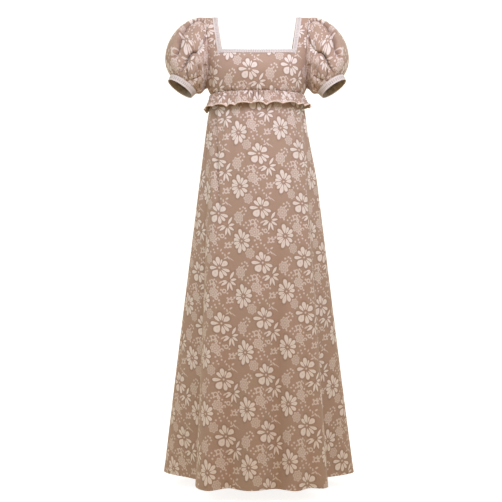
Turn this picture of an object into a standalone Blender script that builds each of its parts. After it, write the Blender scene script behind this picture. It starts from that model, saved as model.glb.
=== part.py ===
"""A high-waisted gown with puff sleeves, filled out as if worn. Metres, +Z up, front towards -Y.

The origin is the middle of the shoulder line. Every piece is a thin wall of cloth around a hollow: the
bodice follows a table of sections, the skirt a table of folds, and each sleeve the lines that run from the
armhole to the cuff.
"""

import math

import bpy
import numpy as np

# Cloth
CLOTH = 0.0016
TRIM = 0.0012
SEAM_GAP = 0.0003
BROCADE_COLOUR = (0.42, 0.29, 0.21, 1.0)
TRIM_COLOUR = (0.86, 0.82, 0.78, 1.0)

# Bodice: one row for each level, from the front waist over the shoulder to the back waist.
# height, half width, depth (front is negative), angle of the armhole edge from the centre line
BODICE_ROWS = (
    (-0.2295, 0.1355, -0.0950, 90.0),
    (-0.2120, 0.1475, -0.1040, 90.0),
    (-0.1900, 0.1535, -0.1120, 74.0),
    (-0.1650, 0.1570, -0.1165, 66.0),
    (-0.1380, 0.1630, -0.1120, 61.0),
    (-0.1060, 0.1745, -0.0962, 56.0),
    (-0.0800, 0.1810, -0.0830, 53.5),
    (-0.0450, 0.1900, -0.0590, 51.5),
    (-0.0160, 0.1970, -0.0330, 51.0),
    (0.0000, 0.2000, 0.0000, 51.0),
    (-0.0160, 0.1970, 0.0360, 51.0),
    (-0.0450, 0.1900, 0.0620, 51.5),
    (-0.0800, 0.1810, 0.0790, 53.5),
    (-0.1140, 0.1720, 0.0870, 56.5),
    (-0.1380, 0.1630, 0.0890, 60.5),
    (-0.1650, 0.1570, 0.0900, 65.0),
    (-0.1900, 0.1535, 0.0900, 73.0),
    (-0.2120, 0.1475, 0.0880, 90.0),
    (-0.2295, 0.1355, 0.0850, 90.0),
)
SIDE_ANGLE = 90.0
NECK_ANGLE = 36.2
TRIM_ANGLE = 5.6
UNDERARM, FRONT_NECK, SHOULDER, BACK_NECK, BACK_WAIST = 1.0, 5.0, 9.0, 12.5, 18.0
NECK_DIP = 0.0055

# Rows of the bodice's grid, as places in the table above, from the waist up to the shoulder. A sleeve has a
# column at the front and one at the back for each row beside the armhole.
BELOW_ARMHOLE = (0.0, 0.35, 0.7)
BESIDE_ARMHOLE = (
    (1.0, 1.25, 1.5, 2.0, 2.5, 3.0, 3.5, 4.0, 4.65)
    + (5.0, 5.5, 6.0, 6.5, 7.0, 7.5, 8.0, 8.4, 8.7, 9.0)
)
NECK_COLUMNS, TRIM_COLUMNS, SIDE_COLUMNS = 22, 1, 5

# Gathers that the waist seam draws into the bodice and the skirt
BODICE_GATHERS, BODICE_GATHER_DEPTH, BODICE_GATHER_REACH = 26, 0.0016, 0.040
SKIRT_GATHERS, SKIRT_GATHER_DEPTH = 23, 0.0024
SKIRT_GATHER_BEGINS, SKIRT_GATHER_FULL, SKIRT_GATHER_ENDS = 0.02, 0.07, 0.24

# Skirt
WAIST_HEIGHT = -0.2295
HEM_HEIGHT = -1.3640
HEM_HALF_WIDTH, HEM_FRONT_DEPTH, HEM_BACK_DEPTH = 0.276, 0.240, 0.262
FOLD_GROWTH = 1.25
HIP_BEGINS, HIP_FULL = 0.03, 0.25
# A row for each side: which way it lies, how far the cloth stands out below the waist, and what share of that
# is left at the hem
HIPS = (
    ("left", 1.0, 0.011, 1.0),
    ("right", -1.0, 0.005, 0.0),
)
COLUMNS_PER_FOLD = 5
SKIRT_LEVELS = (0.0, 0.12, 0.25, 0.38, 0.51, 0.64, 0.76, 0.86, 0.925, 0.965, 1.0)
# A row for each crest and valley, round from the front centre towards +X:
# name, angle at the waist, angle at the hem, distance from the centre at the hem
SKIRT_FOLDS = (
    ("front crest", -3, -1, 0.2640),
    ("front valley", 17, 13, 0.2365),
    ("front crest", 31, 23, 0.2800),
    ("front valley", 44, 31, 0.2700),
    ("left fold edge", 60, 39, 0.2850),
    ("left fold valley", 74, 62, 0.2000),
    ("left side seam", 90, 93, 0.2800),
    ("back valley", 106, 112, 0.2400),
    ("back crest", 123, 130, 0.2930),
    ("back valley", 138, 145, 0.2500),
    ("back crest", 154, 160, 0.2880),
    ("back valley", 169, 174, 0.2520),
    ("back crest", 184, 187, 0.2860),
    ("back valley", 200, 201, 0.2490),
    ("back crest", 217, 217, 0.2910),
    ("back valley", 234, 234, 0.2460),
    ("back crest", 250, 247, 0.2820),
    ("right side seam", 270, 260, 0.2840),
    ("right fold valley", 287, 300, 0.2105),
    ("right fold edge", 304, 331, 0.2900),
    ("front valley", 334, 343, 0.2400),
)
LEFT_SEAM, RIGHT_SEAM = 6, 17

# Ruffle below the waist seam
RUFFLE_WAVES, RUFFLE_COLUMNS = 18, 126
RUFFLE_TOP, RUFFLE_LENGTH, RUFFLE_LONGER_SIDE = -0.2299, 0.0385, 0.16
RUFFLE_FLARE, RUFFLE_SIDE_FLARE, RUFFLE_WAVE, RUFFLE_TIP = 0.0135, 0.0020, 0.0080, 0.0075
RUFFLE_LEVELS = (0.0, 0.35, 0.7, 1.0)

# Sleeve for the +X arm; the other is its mirror image
CUFF_CENTRE = (0.2290, -0.0300, -0.2165)
CUFF_AXIS = (0.549, -0.195, -0.814)
CUFF_WIDTH, CUFF_TOP_RADIUS, CUFF_RIM_RADIUS = 0.017, 0.0460, 0.0425
SLEEVE_LEVELS = (0.0, 0.05, 0.12, 0.22, 0.34, 0.46, 0.58, 0.70, 0.81, 0.90, 0.96, 1.0)
SLEEVE_INSIDE_CUFF = (0.75, 0.12)
SLEEVE_RISE = 0.0025
SLEEVE_TWIST = 0.1
ARMHOLE_GAP = 0.0005
# The cloth's pull at four places round the sleeve: outward, forward and upward where it leaves the armhole,
# then inward and along the axis where it enters the cuff
SLEEVE_PULLS = (
    ("top", 0.1500, 0.0000, 0.0450, 0.3050, 0.1250),
    ("front", 0.1100, -0.1800, 0.0000, 0.1400, 0.1100),
    ("bottom", 0.0500, -0.0150, -0.0040, 0.0800, 0.0120),
    ("back", 0.1100, 0.1900, 0.0000, 0.1400, 0.1100),
)
# A row for each large fold: place at the armhole and at the cuff as a share of the way round from the top
# through the front, where along the sleeve it begins and ends, its width round the sleeve, its depth.
# The row with a depth below zero is the full head of the sleeve, which stands above the shoulder seam.
SLEEVE_FOLDS = (
    (0.167, 0.167, -0.08, 1.02, 0.030, 0.0170),
    (0.083, 0.083, 0.15, 0.92, 0.026, 0.0140),
    (0.250, 0.222, 0.50, 1.05, 0.030, 0.0080),
    (0.330, 0.310, 0.45, 1.05, 0.030, 0.0060),
    (0.833, 0.833, -0.08, 0.98, 0.030, 0.0150),
    (0.917, 0.917, 0.20, 0.92, 0.026, 0.0120),
    (0.750, 0.778, 0.40, 1.05, 0.034, 0.0080),
    (0.000, 0.000, -0.15, 0.35, 0.080, -0.0035),
)
CUFF_GATHERS, CUFF_GATHER_DEPTH, CUFF_GATHER_PLACE = 9, 0.0018, 0.84


def clear_scene():
    for obj in list(bpy.data.objects):
        bpy.data.objects.remove(obj)


def make_material(name, colour, roughness):
    material = bpy.data.materials.new(name)
    material.use_nodes = True
    shader = material.node_tree.nodes["Principled BSDF"]
    shader.inputs["Base Color"].default_value = colour
    shader.inputs["Roughness"].default_value = roughness
    shader.inputs["Metallic"].default_value = 0.0
    return material


def unit(vectors):
    """The vectors at length 1."""
    return vectors / np.linalg.norm(vectors, axis=-1, keepdims=True)


def smoothstep(low, high, value):
    """A smooth rise from 0 at low to 1 at high."""
    share = np.clip((np.asarray(value, float) - low) / (high - low), 0.0, 1.0)
    return share * share * (3.0 - 2.0 * share)


def smooth_rows(rows, place):
    """The values of a table at a place between its rows, on smooth curves through them."""
    table = np.asarray(rows, float)
    place = np.clip(np.asarray(place, float), 0.0, len(table) - 1.0)
    low = np.minimum(place.astype(int), len(table) - 2)
    share = (place - low)[..., None]
    before, start = table[np.maximum(low - 1, 0)], table[low]
    end, after = table[low + 1], table[np.minimum(low + 2, len(table) - 1)]
    slope_start, slope_end = (end - before) / 2.0, (after - start) / 2.0
    square, cube = share**2, share**3
    return (
        (2 * cube - 3 * square + 1) * start
        + (cube - 2 * square + share) * slope_start
        + (3 * square - 2 * cube) * end
        + (cube - square) * slope_end
    )


def grid_normals(points, wrap):
    """Unit normals of a grid whose columns run to the right and rows run up, seen from outside."""
    if wrap:
        along = np.roll(points, -1, axis=1) - np.roll(points, 1, axis=1)
    else:
        along = np.gradient(points, axis=1)
    return unit(np.cross(along, np.gradient(points, axis=0)))


def cloth_wall(name, points, normals, thickness, material, wrap=False, keep=None):
    """A closed wall of cloth on a grid of points, as one object. keep says which cells are cloth."""
    rows, columns = points.shape[:2]
    cell_columns = columns if wrap else columns - 1
    if keep is None:
        keep = np.ones((rows - 1, cell_columns), bool)
    count = rows * columns
    outer = (points + normals * thickness / 2).reshape(-1, 3)
    inner = (points - normals * thickness / 2).reshape(-1, 3)
    faces = []
    edges = {}
    for i, j in np.argwhere(keep):
        right = (j + 1) % columns
        a, b = i * columns + j, i * columns + right
        c, d = (i + 1) * columns + right, (i + 1) * columns + j
        faces += [(a, b, c), (a, c, d)]
        faces += [(count + c, count + b, count + a), (count + d, count + c, count + a)]
        for edge in ((a, b), (b, c), (c, d), (d, a)):
            if edges.pop(edge[::-1], None) is None:
                edges[edge] = True
    for start, end in edges:
        faces += [(start, count + start, count + end), (start, count + end, end)]
    used = np.unique(np.array(faces))
    renumber = np.full(2 * count, -1)
    renumber[used] = np.arange(len(used))
    mesh = bpy.data.meshes.new(name)
    vertices = np.concatenate([outer, inner])[used]
    mesh.from_pydata(vertices.tolist(), [], renumber[np.array(faces)].tolist())
    mesh.materials.append(material)
    mesh.shade_smooth()
    mesh.set_sharp_from_angle(angle=math.radians(50))
    obj = bpy.data.objects.new(name, mesh)
    bpy.context.scene.collection.objects.link(obj)
    return obj


def torso_points(across, place):
    """Points of the bodice's form. across is an angle from the centre line and place a row of its table."""
    height, half_width, depth, _ = np.moveaxis(smooth_rows(BODICE_ROWS, place), -1, 0)
    angle = np.radians(across)
    dip = NECK_DIP * np.cos(angle) ** 6 * np.exp(-(((place - FRONT_NECK) / 1.2) ** 2))
    return np.stack([half_width * np.sin(angle), depth * np.cos(angle), height - dip], axis=-1)


def armhole_angle(place):
    """The angle from the centre line at which the bodice ends at its armhole or side seam."""
    return np.minimum(smooth_rows(BODICE_ROWS, place)[..., 3], SIDE_ANGLE)


def bodice_angles(place):
    """The angles of the bodice's columns at one level, from one armhole to the other."""
    edge = float(armhole_angle(np.array(place)))
    trim_edge = NECK_ANGLE + TRIM_ANGLE
    side = np.linspace(edge, trim_edge, SIDE_COLUMNS + 1)
    trim = np.linspace(trim_edge, NECK_ANGLE, TRIM_COLUMNS + 1)[1:]
    neck = np.linspace(NECK_ANGLE, -NECK_ANGLE, NECK_COLUMNS + 1)[1:]
    half = np.concatenate([side, trim])
    return np.concatenate([-half, -neck[:-1], half[::-1]])


def bodice_grid(levels):
    """Points and normals of the front or back bodice, columns running to the right seen from outside."""
    facing = 1.0 if levels[0] < SHOULDER else -1.0
    sewn_sides = len(BELOW_ARMHOLE) + 1
    across = facing * np.array([bodice_angles(place) for place in levels])
    place = np.broadcast_to(np.array(levels)[:, None], across.shape)
    points = torso_points(across, place)
    normals = grid_normals(points, wrap=False)
    normals[0, :, 2] = 0.0
    normals[-1] = (0.0, 0.0, 1.0)
    normals[:sewn_sides, (0, -1), 1] = 0.0
    normals = unit(normals)
    # The gathers fade upwards from the waist seam and stay clear of the side seams.
    fade = 1.0 - smoothstep(0.0, BODICE_GATHER_REACH, points[..., 2] - WAIST_HEIGHT)
    fade = fade * smoothstep(0.0, 12.0, SIDE_ANGLE - np.abs(across))
    turn = np.radians(across) * BODICE_GATHERS
    wave = np.sin(turn + 0.9 * np.sin(3.0 * np.radians(across) + facing))
    points = points + normals * (BODICE_GATHER_DEPTH * fade * wave)[..., None]
    return points, normals


def pull_in(points, gap, column_ends=(), row_ends=()):
    """The grid with the named ends drawn in by half of a seam's gap."""
    points = points.copy()
    for end in column_ends:
        inner = 1 if end == 0 else -2
        points[:, end] += unit(points[:, inner] - points[:, end]) * gap
    for end in row_ends:
        inner = 1 if end == 0 else -2
        points[end] += unit(points[inner] - points[end]) * gap
    return points


def build_bodice(material):
    """Front and back of the bodice, with square neck openings. Returns their grids for the trim."""
    grids = {}
    front_levels = BELOW_ARMHOLE + BESIDE_ARMHOLE
    back_levels = tuple(BACK_WAIST - level for level in front_levels)
    for name, levels, neck_place in (
        ("bodice_front", front_levels, FRONT_NECK),
        ("bodice_back", back_levels, BACK_NECK),
    ):
        points, normals = bodice_grid(levels)
        points = pull_in(points, SEAM_GAP / 2, column_ends=(0, -1), row_ends=(-1,))
        neck_row = levels.index(neck_place)
        keep = np.ones((points.shape[0] - 1, points.shape[1] - 1), bool)
        neck_start = SIDE_COLUMNS + TRIM_COLUMNS
        keep[neck_row:, neck_start : neck_start + NECK_COLUMNS] = False
        cloth_wall(name, points, normals, CLOTH, material, keep=keep)
        grids[name] = (points, normals, neck_row)
    return grids


def build_neck_trim(grids, material):
    """Flat trim round the neck, lying on the bodice: a front, a back and one over each shoulder."""
    lift = (CLOTH + TRIM) / 2 + SEAM_GAP
    first, last = SIDE_COLUMNS, SIDE_COLUMNS + 2 * TRIM_COLUMNS + NECK_COLUMNS
    for name, part in (("neck_trim_front", "bodice_front"), ("neck_trim_back", "bodice_back")):
        points, normals, neck_row = grids[part]
        band = (slice(neck_row - 1, neck_row + 1), slice(first, last + 1))
        raised = points[band] + normals[band] * lift
        cloth_wall(name, pull_in(raised, SEAM_GAP, row_ends=(-1,)), normals[band], TRIM, material)
    front, front_normals, front_row = grids["bodice_front"]
    back, back_normals, back_row = grids["bodice_back"]
    columns = front.shape[1]
    for name, start in (("neck_trim_right", first), ("neck_trim_left", last - TRIM_COLUMNS)):
        strip = slice(start, start + TRIM_COLUMNS + 1)
        facing = slice(columns - start - TRIM_COLUMNS - 1, columns - start)
        # The back's columns run the other way, and its rows are taken from the shoulder down.
        rising = front[front_row:, strip] + front_normals[front_row:, strip] * lift
        falling = (back[back_row:, facing] + back_normals[back_row:, facing] * lift)[::-1, ::-1]
        normals = np.concatenate(
            [front_normals[front_row:, strip], back_normals[back_row:, facing][::-1, ::-1][1:]]
        )
        points = np.concatenate([rising, falling[1:]])
        points = pull_in(points, SEAM_GAP, row_ends=(0, -1))
        cloth_wall(name, points, normals, TRIM, material)


def skirt_angles():
    """For each column of the skirt: its angle at the waist and at the hem, and its distance at the hem."""
    waist = np.array([row[1] for row in SKIRT_FOLDS], float)
    hem = np.array([row[2] for row in SKIRT_FOLDS], float)
    reach = np.array([row[3] for row in SKIRT_FOLDS], float)
    share = np.arange(COLUMNS_PER_FOLD) / COLUMNS_PER_FOLD
    eased = (1.0 - np.cos(math.pi * share)) / 2.0
    turns = []
    for values in (waist, hem):
        following = np.append(values[1:], values[0] + 360.0)
        turns.append((values[:, None] + (following - values)[:, None] * share).ravel())
    following = np.append(reach[1:], reach[0])
    distance = (reach[:, None] + (following - reach)[:, None] * eased).ravel()
    return turns[0], turns[1], distance


def oval_radius(angle, half_width, front_depth, back_depth):
    """Distance from the centre to an oval, at an angle from the front centre."""
    turn = np.radians(angle)
    depth = np.where(np.cos(turn) > 0, front_depth, back_depth)
    return 1.0 / np.hypot(np.sin(turn) / half_width, np.cos(turn) / depth)


def skirt_grid():
    """Points and normals of the whole skirt, rows running up from the hem, columns round to the right."""
    waist_angle, hem_angle, reach = skirt_angles()
    _, waist_width, waist_front, _ = BODICE_ROWS[0]
    waist_back = BODICE_ROWS[-1][2]
    # At the waist, the fold table's angle is the bodice's own angle across, so that the two edges match.
    turn = np.radians(waist_angle)
    waist_depth = np.where(np.cos(turn) > 0, -waist_front, waist_back)
    waist = np.stack([waist_width * np.sin(turn), -waist_depth * np.cos(turn)], axis=-1)
    smooth_reach = oval_radius(hem_angle, HEM_HALF_WIDTH, HEM_FRONT_DEPTH, HEM_BACK_DEPTH)
    rows = []
    for level in SKIRT_LEVELS:
        drop = 1.0 - level
        ray = np.radians(hem_angle)
        direction = np.stack([np.sin(ray), -np.cos(ray)], axis=-1)
        fold = (reach - smooth_reach) * drop**FOLD_GROWTH
        ring = waist * (1.0 - drop) + direction * (smooth_reach * drop + fold)[:, None]
        for _, side, out, kept in HIPS:
            hip = out * smoothstep(HIP_BEGINS, HIP_FULL, drop) * (1.0 - (1.0 - kept) * drop)
            ring[:, 0] += side * hip * np.clip(side * direction[:, 0], 0.0, 1.0)
        height = WAIST_HEIGHT + (HEM_HEIGHT - WAIST_HEIGHT) * drop
        rows.append(np.column_stack([ring, np.full(len(ring), height)]))
    points = np.array(rows)
    normals = grid_normals(points, wrap=True)
    normals[0, :, 2] = 0.0
    normals[-1, :, 2] = 0.0
    normals = unit(normals)
    drop = 1.0 - np.array(SKIRT_LEVELS)[:, None]
    fade = smoothstep(SKIRT_GATHER_BEGINS, SKIRT_GATHER_FULL, drop)
    fade = fade * (1.0 - smoothstep(SKIRT_GATHER_FULL, SKIRT_GATHER_ENDS, drop))
    wave = np.sin(turn * SKIRT_GATHERS + 0.8 * np.sin(turn * 2.0))
    points = points + normals * (SKIRT_GATHER_DEPTH * fade * wave)[..., None]
    return points, normals


def build_skirt(material):
    """Front and back of the skirt, which meet at the side seams."""
    points, normals = skirt_grid()
    points[-1, :, 2] -= SEAM_GAP
    columns = points.shape[1]
    left, right = LEFT_SEAM * COLUMNS_PER_FOLD, RIGHT_SEAM * COLUMNS_PER_FOLD
    front = np.arange(right, left + columns + 1) % columns
    back = np.arange(left, right + 1)
    for name, chosen in (("skirt_front", front), ("skirt_back", back)):
        panel = pull_in(points[:, chosen], SEAM_GAP / 2, column_ends=(0, -1))
        cloth_wall(name, panel, normals[:, chosen], CLOTH, material)


def build_ruffle(material):
    """A gathered strip sewn into the waist seam, which stands away from the skirt in waves."""
    turn = np.linspace(0.0, 2.0 * math.pi, RUFFLE_COLUMNS, endpoint=False)
    _, half_width, front_depth, _ = BODICE_ROWS[0]
    back_depth = BODICE_ROWS[-1][2]
    depth = np.where(np.cos(turn) > 0, -front_depth, back_depth)
    ring = np.stack([half_width * np.sin(turn), -depth * np.cos(turn)], axis=-1)
    outward = unit(np.stack([depth * np.sin(turn), -half_width * np.cos(turn)], axis=-1))
    wave_turn = turn * RUFFLE_WAVES + 0.9 * np.sin(2.0 * turn + 0.6) + 0.6 * np.sin(5.0 * turn)
    out = (1.0 + np.sin(wave_turn)) / 2
    uneven = 0.75 + 0.25 * np.sin(3.0 * turn + 1.0)
    length = RUFFLE_LENGTH * (1.0 - RUFFLE_LONGER_SIDE * np.sin(turn))
    flare = RUFFLE_FLARE + RUFFLE_SIDE_FLARE * np.sin(turn)
    rows = []
    for share in RUFFLE_LEVELS[::-1]:
        # The edge hangs lowest between two waves, where the strip falls back towards the skirt.
        reach = CLOTH + SEAM_GAP + flare * share**1.4 + RUFFLE_WAVE * uneven * out * share
        drop = length * share + RUFFLE_TIP * uneven * (1.0 - out) ** 2 * share**2
        rows.append(np.column_stack([ring + outward * reach[:, None], RUFFLE_TOP - drop]))
    points = np.array(rows)
    normals = grid_normals(points, wrap=True)
    normals[-1, :, 2] = 0.0
    cloth_wall("waist_ruffle", points, unit(normals), CLOTH, material, wrap=True)


def armhole_loop():
    """Points round the +X armhole, from the shoulder down the front and up the back, and the direction in
    which each one faces away from the bodice's edge."""
    falling = np.array(BESIDE_ARMHOLE[::-1])
    rising = BACK_WAIST - np.array(BESIDE_ARMHOLE[1:-1])
    place = np.concatenate([falling, rising])
    across = armhole_angle(place)
    edge = torso_points(across, place)
    step = 0.01
    sideways = torso_points(across + step, place) - torso_points(across - step, place)
    onward = torso_points(across, place + step) - torso_points(across, place - step)
    outward = unit(np.cross(sideways, onward))
    loop = np.roll(edge, -1, axis=0) - np.roll(edge, 1, axis=0)
    return edge, unit(np.cross(outward, loop))


def cuff_ring(share, inset):
    """A ring round the cuff's axis, starting at its upper outer side, and the directions out to its points.
    share is 0 at the cuff's open rim and 1 at its top. inset is the distance inside the cuff's wall."""
    columns = 2 * len(BESIDE_ARMHOLE) - 2
    axis = unit(np.array(CUFF_AXIS))
    upper = unit(np.cross(axis, [0.0, 1.0, 0.0]))
    upper = upper * math.copysign(1.0, upper[2])
    front = np.cross(upper, axis)
    front = front * math.copysign(1.0, -front[1])
    # The cloth swings down towards the inside of the arm, so that its large folds run slantwise.
    share_round = np.arange(columns) / columns
    turn = 2.0 * math.pi * (share_round + SLEEVE_TWIST * np.sin(2.0 * math.pi * share_round))
    radial = np.cos(turn)[:, None] * upper + np.sin(turn)[:, None] * front
    radius = CUFF_RIM_RADIUS + (CUFF_TOP_RADIUS - CUFF_RIM_RADIUS) * min(share, 1.0) - inset
    return np.array(CUFF_CENTRE) - axis * CUFF_WIDTH * share + radial * radius, radial, axis


def sleeve_pulls():
    """The pulls of the table above, blended smoothly round the sleeve."""
    values = np.array([row[1:] for row in SLEEVE_PULLS])
    columns = 2 * len(BESIDE_ARMHOLE) - 2
    place = 4.0 * np.arange(columns) / columns
    low = place.astype(int)
    share = ((1.0 - np.cos(math.pi * (place - low))) / 2.0)[:, None]
    return values[low % 4] * (1.0 - share) + values[(low + 1) % 4] * share


def sleeve_shape(share_round, level):
    """How far the sleeve's large folds and cuff gathers press it in, as a grid of depths."""
    depth = np.zeros(np.broadcast_shapes(share_round.shape, level.shape))
    for at_head, at_cuff, begins, ends, width, deep in SLEEVE_FOLDS:
        middle = at_head + (at_cuff - at_head) * level
        away = (share_round - middle + 0.5) % 1.0 - 0.5
        # One side of a fold drops steeply and the other runs out slowly.
        steep = np.where(away < 0.0, width * 0.55, width * 1.7)
        profile = np.exp(-((away / steep) ** 2))
        length = (ends - begins) * 0.28
        fade = smoothstep(begins, begins + length, level) * (1.0 - smoothstep(ends - length, ends, level))
        depth = depth + deep * profile * fade
    gather = np.exp(-(((level - CUFF_GATHER_PLACE) / 0.14) ** 2))
    wave = np.sin(2.0 * math.pi * CUFF_GATHERS * share_round)
    ends_fade = smoothstep(0.0, 0.08, level) * (1.0 - smoothstep(0.93, 1.0, level))
    return (depth + CUFF_GATHER_DEPTH * gather * wave) * ends_fade


def sleeve_grid():
    """Points and normals of the +X sleeve, rows running from the armhole to inside the cuff."""
    edge, away = armhole_loop()
    pulls = sleeve_pulls()
    leaving = pulls[:, :3]
    slant = (unit(leaving) * away).sum(axis=1, keepdims=True)
    start = edge + away * (ARMHOLE_GAP + CLOTH / 2 * np.sqrt(1.0 - slant**2))
    inset = (CLOTH + TRIM) / 2 + SEAM_GAP
    end, radial, axis = cuff_ring(1.0 + SLEEVE_RISE / CUFF_WIDTH, inset)
    arriving = axis * pulls[:, 4:5] - radial * pulls[:, 3:4]
    rows = []
    for level in SLEEVE_LEVELS:
        square, cube = level**2, level**3
        rows.append(
            (2 * cube - 3 * square + 1) * start
            + (cube - 2 * square + level) * leaving
            + (3 * square - 2 * cube) * end
            + (cube - square) * arriving
        )
    points = np.array(rows)
    normals = grid_normals(points, wrap=True)
    share_round = np.arange(len(edge))[None, :] / len(edge)
    level = np.array(SLEEVE_LEVELS)[:, None]
    points = points - normals * sleeve_shape(share_round, level)[..., None]
    inside = [cuff_ring(share, inset)[0] for share in SLEEVE_INSIDE_CUFF]
    points = np.concatenate([points, np.array(inside)])
    return points, grid_normals(points, wrap=True)


def mirrored(grid):
    """The grid on the other side of the gown, with its columns reversed so that it still faces out."""
    return (grid * np.array([-1.0, 1.0, 1.0]))[:, ::-1]


def build_sleeves(material):
    """The two puff sleeves, open at the armhole and inside the cuff."""
    points, normals = sleeve_grid()
    cloth_wall("sleeve_left", points, normals, CLOTH, material, wrap=True)
    cloth_wall("sleeve_right", mirrored(points), mirrored(normals), CLOTH, material, wrap=True)


def build_cuffs(material):
    """A trim band round the end of each sleeve."""
    points = np.array([cuff_ring(share, 0.0)[0] for share in (1.0, 0.5, 0.0)])
    normals = grid_normals(points, wrap=True)
    cloth_wall("cuff_left", points, normals, TRIM, material, wrap=True)
    cloth_wall("cuff_right", mirrored(points), mirrored(normals), TRIM, material, wrap=True)


def main():
    clear_scene()
    brocade = make_material("brocade", BROCADE_COLOUR, 0.75)
    trim = make_material("trim", TRIM_COLOUR, 0.8)
    grids = build_bodice(brocade)
    build_neck_trim(grids, trim)
    build_skirt(brocade)
    build_ruffle(brocade)
    build_sleeves(brocade)
    build_cuffs(trim)


main()
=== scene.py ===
"""The gown's looks: figured cloth, white trims, gathers and folds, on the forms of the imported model.

Every sheet of cloth is a thin closed shell on the same sections, folds and lines as its solid, sampled
finely enough to carry its gathers, seams and hems. The floral repeat is drawn by shader nodes from a
chart of petals.
"""

import math

import bpy
import numpy as np
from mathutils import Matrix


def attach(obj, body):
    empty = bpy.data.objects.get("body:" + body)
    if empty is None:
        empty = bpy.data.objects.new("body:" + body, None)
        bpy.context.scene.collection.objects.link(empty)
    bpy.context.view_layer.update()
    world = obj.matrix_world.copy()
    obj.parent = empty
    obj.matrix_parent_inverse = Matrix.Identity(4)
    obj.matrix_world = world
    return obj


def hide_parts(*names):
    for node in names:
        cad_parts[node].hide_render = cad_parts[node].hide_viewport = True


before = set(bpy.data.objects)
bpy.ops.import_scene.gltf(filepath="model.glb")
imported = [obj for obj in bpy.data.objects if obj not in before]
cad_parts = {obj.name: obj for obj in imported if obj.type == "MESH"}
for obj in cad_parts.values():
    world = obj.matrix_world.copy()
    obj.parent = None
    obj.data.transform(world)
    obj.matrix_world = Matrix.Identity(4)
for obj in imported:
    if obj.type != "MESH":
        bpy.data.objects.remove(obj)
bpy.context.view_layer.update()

# Cloth
CLOTH, TRIM = 0.0010, 0.0009
SOLID_CLOTH, SOLID_TRIM = 0.0016, 0.0012
SEAM_GAP = 0.0003

# Bodice: height, half width, depth (front is negative), angle of the armhole edge from the centre line
BODICE_ROWS = (
    (-0.2295, 0.1355, -0.0950, 90.0), (-0.2120, 0.1475, -0.1040, 90.0), (-0.1900, 0.1535, -0.1120, 74.0),
    (-0.1650, 0.1570, -0.1165, 66.0), (-0.1380, 0.1630, -0.1120, 61.0), (-0.1060, 0.1745, -0.0962, 56.0),
    (-0.0800, 0.1810, -0.0830, 53.5), (-0.0450, 0.1900, -0.0590, 51.5), (-0.0160, 0.1970, -0.0330, 51.0),
    (0.0000, 0.2000, 0.0000, 51.0), (-0.0160, 0.1970, 0.0360, 51.0), (-0.0450, 0.1900, 0.0620, 51.5),
    (-0.0800, 0.1810, 0.0790, 53.5), (-0.1140, 0.1720, 0.0870, 56.5), (-0.1380, 0.1630, 0.0890, 60.5),
    (-0.1650, 0.1570, 0.0900, 65.0), (-0.1900, 0.1535, 0.0900, 73.0), (-0.2120, 0.1475, 0.0880, 90.0),
    (-0.2295, 0.1355, 0.0850, 90.0),
)
SIDE_ANGLE = 90.0
NECK_ANGLE = 36.2
TRIM_ANGLE = 5.6
FRONT_NECK, SHOULDER, BACK_NECK, BACK_WAIST = 5.0, 9.0, 12.5, 18.0
FRONT_TRIM_ROWS, BACK_TRIM_ROWS = 0.35, 0.5
NECK_DIP = 0.0055
ARMHOLE_PLACES = (
    (1.0, 1.25, 1.5, 2.0, 2.5, 3.0, 3.5, 4.0, 4.65)
    + (5.0, 5.5, 6.0, 6.5, 7.0, 7.5, 8.0, 8.4, 8.7, 9.0)
)
BODICE_STEP = 0.0625
SIDE_COLUMNS, TRIM_COLUMNS, NECK_COLUMNS = 22, 6, 96

# Gathers that the waist seam draws into the cloth
BODICE_GATHERS, BODICE_GATHER_DEPTH, BODICE_GATHER_REACH = 26, 0.0016, 0.040
SKIRT_GATHERS, SKIRT_GATHER_DEPTH = 23, 0.0024
SKIRT_GATHER_BEGINS, SKIRT_GATHER_FULL, SKIRT_GATHER_ENDS = 0.02, 0.07, 0.24

# Skirt
WAIST_HEIGHT, HEM_HEIGHT = -0.2295, -1.3640
HEM_HALF_WIDTH, HEM_FRONT_DEPTH, HEM_BACK_DEPTH = 0.276, 0.240, 0.262
FOLD_GROWTH = 1.25
HIP_BEGINS, HIP_FULL = 0.03, 0.25
# which way the side lies, how far the cloth stands out below the waist, what share is left at the hem
HIPS = ((1.0, 0.011, 1.0), (-1.0, 0.005, 0.0))
COLUMNS_PER_FOLD, SKIRT_ROWS = 20, 116
# angle at the waist, angle at the hem, distance from the centre at the hem
SKIRT_FOLDS = (
    (-3, -1, 0.2640), (17, 13, 0.2365), (31, 23, 0.2800), (44, 31, 0.2700), (60, 39, 0.2850),
    (74, 62, 0.2000), (90, 93, 0.2800), (106, 112, 0.2400), (123, 130, 0.2930), (138, 145, 0.2500),
    (154, 160, 0.2880), (169, 174, 0.2520), (184, 187, 0.2860), (200, 201, 0.2490), (217, 217, 0.2910),
    (234, 234, 0.2460), (250, 247, 0.2820), (270, 260, 0.2840), (287, 300, 0.2105), (304, 331, 0.2900),
    (334, 343, 0.2400),
)
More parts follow.
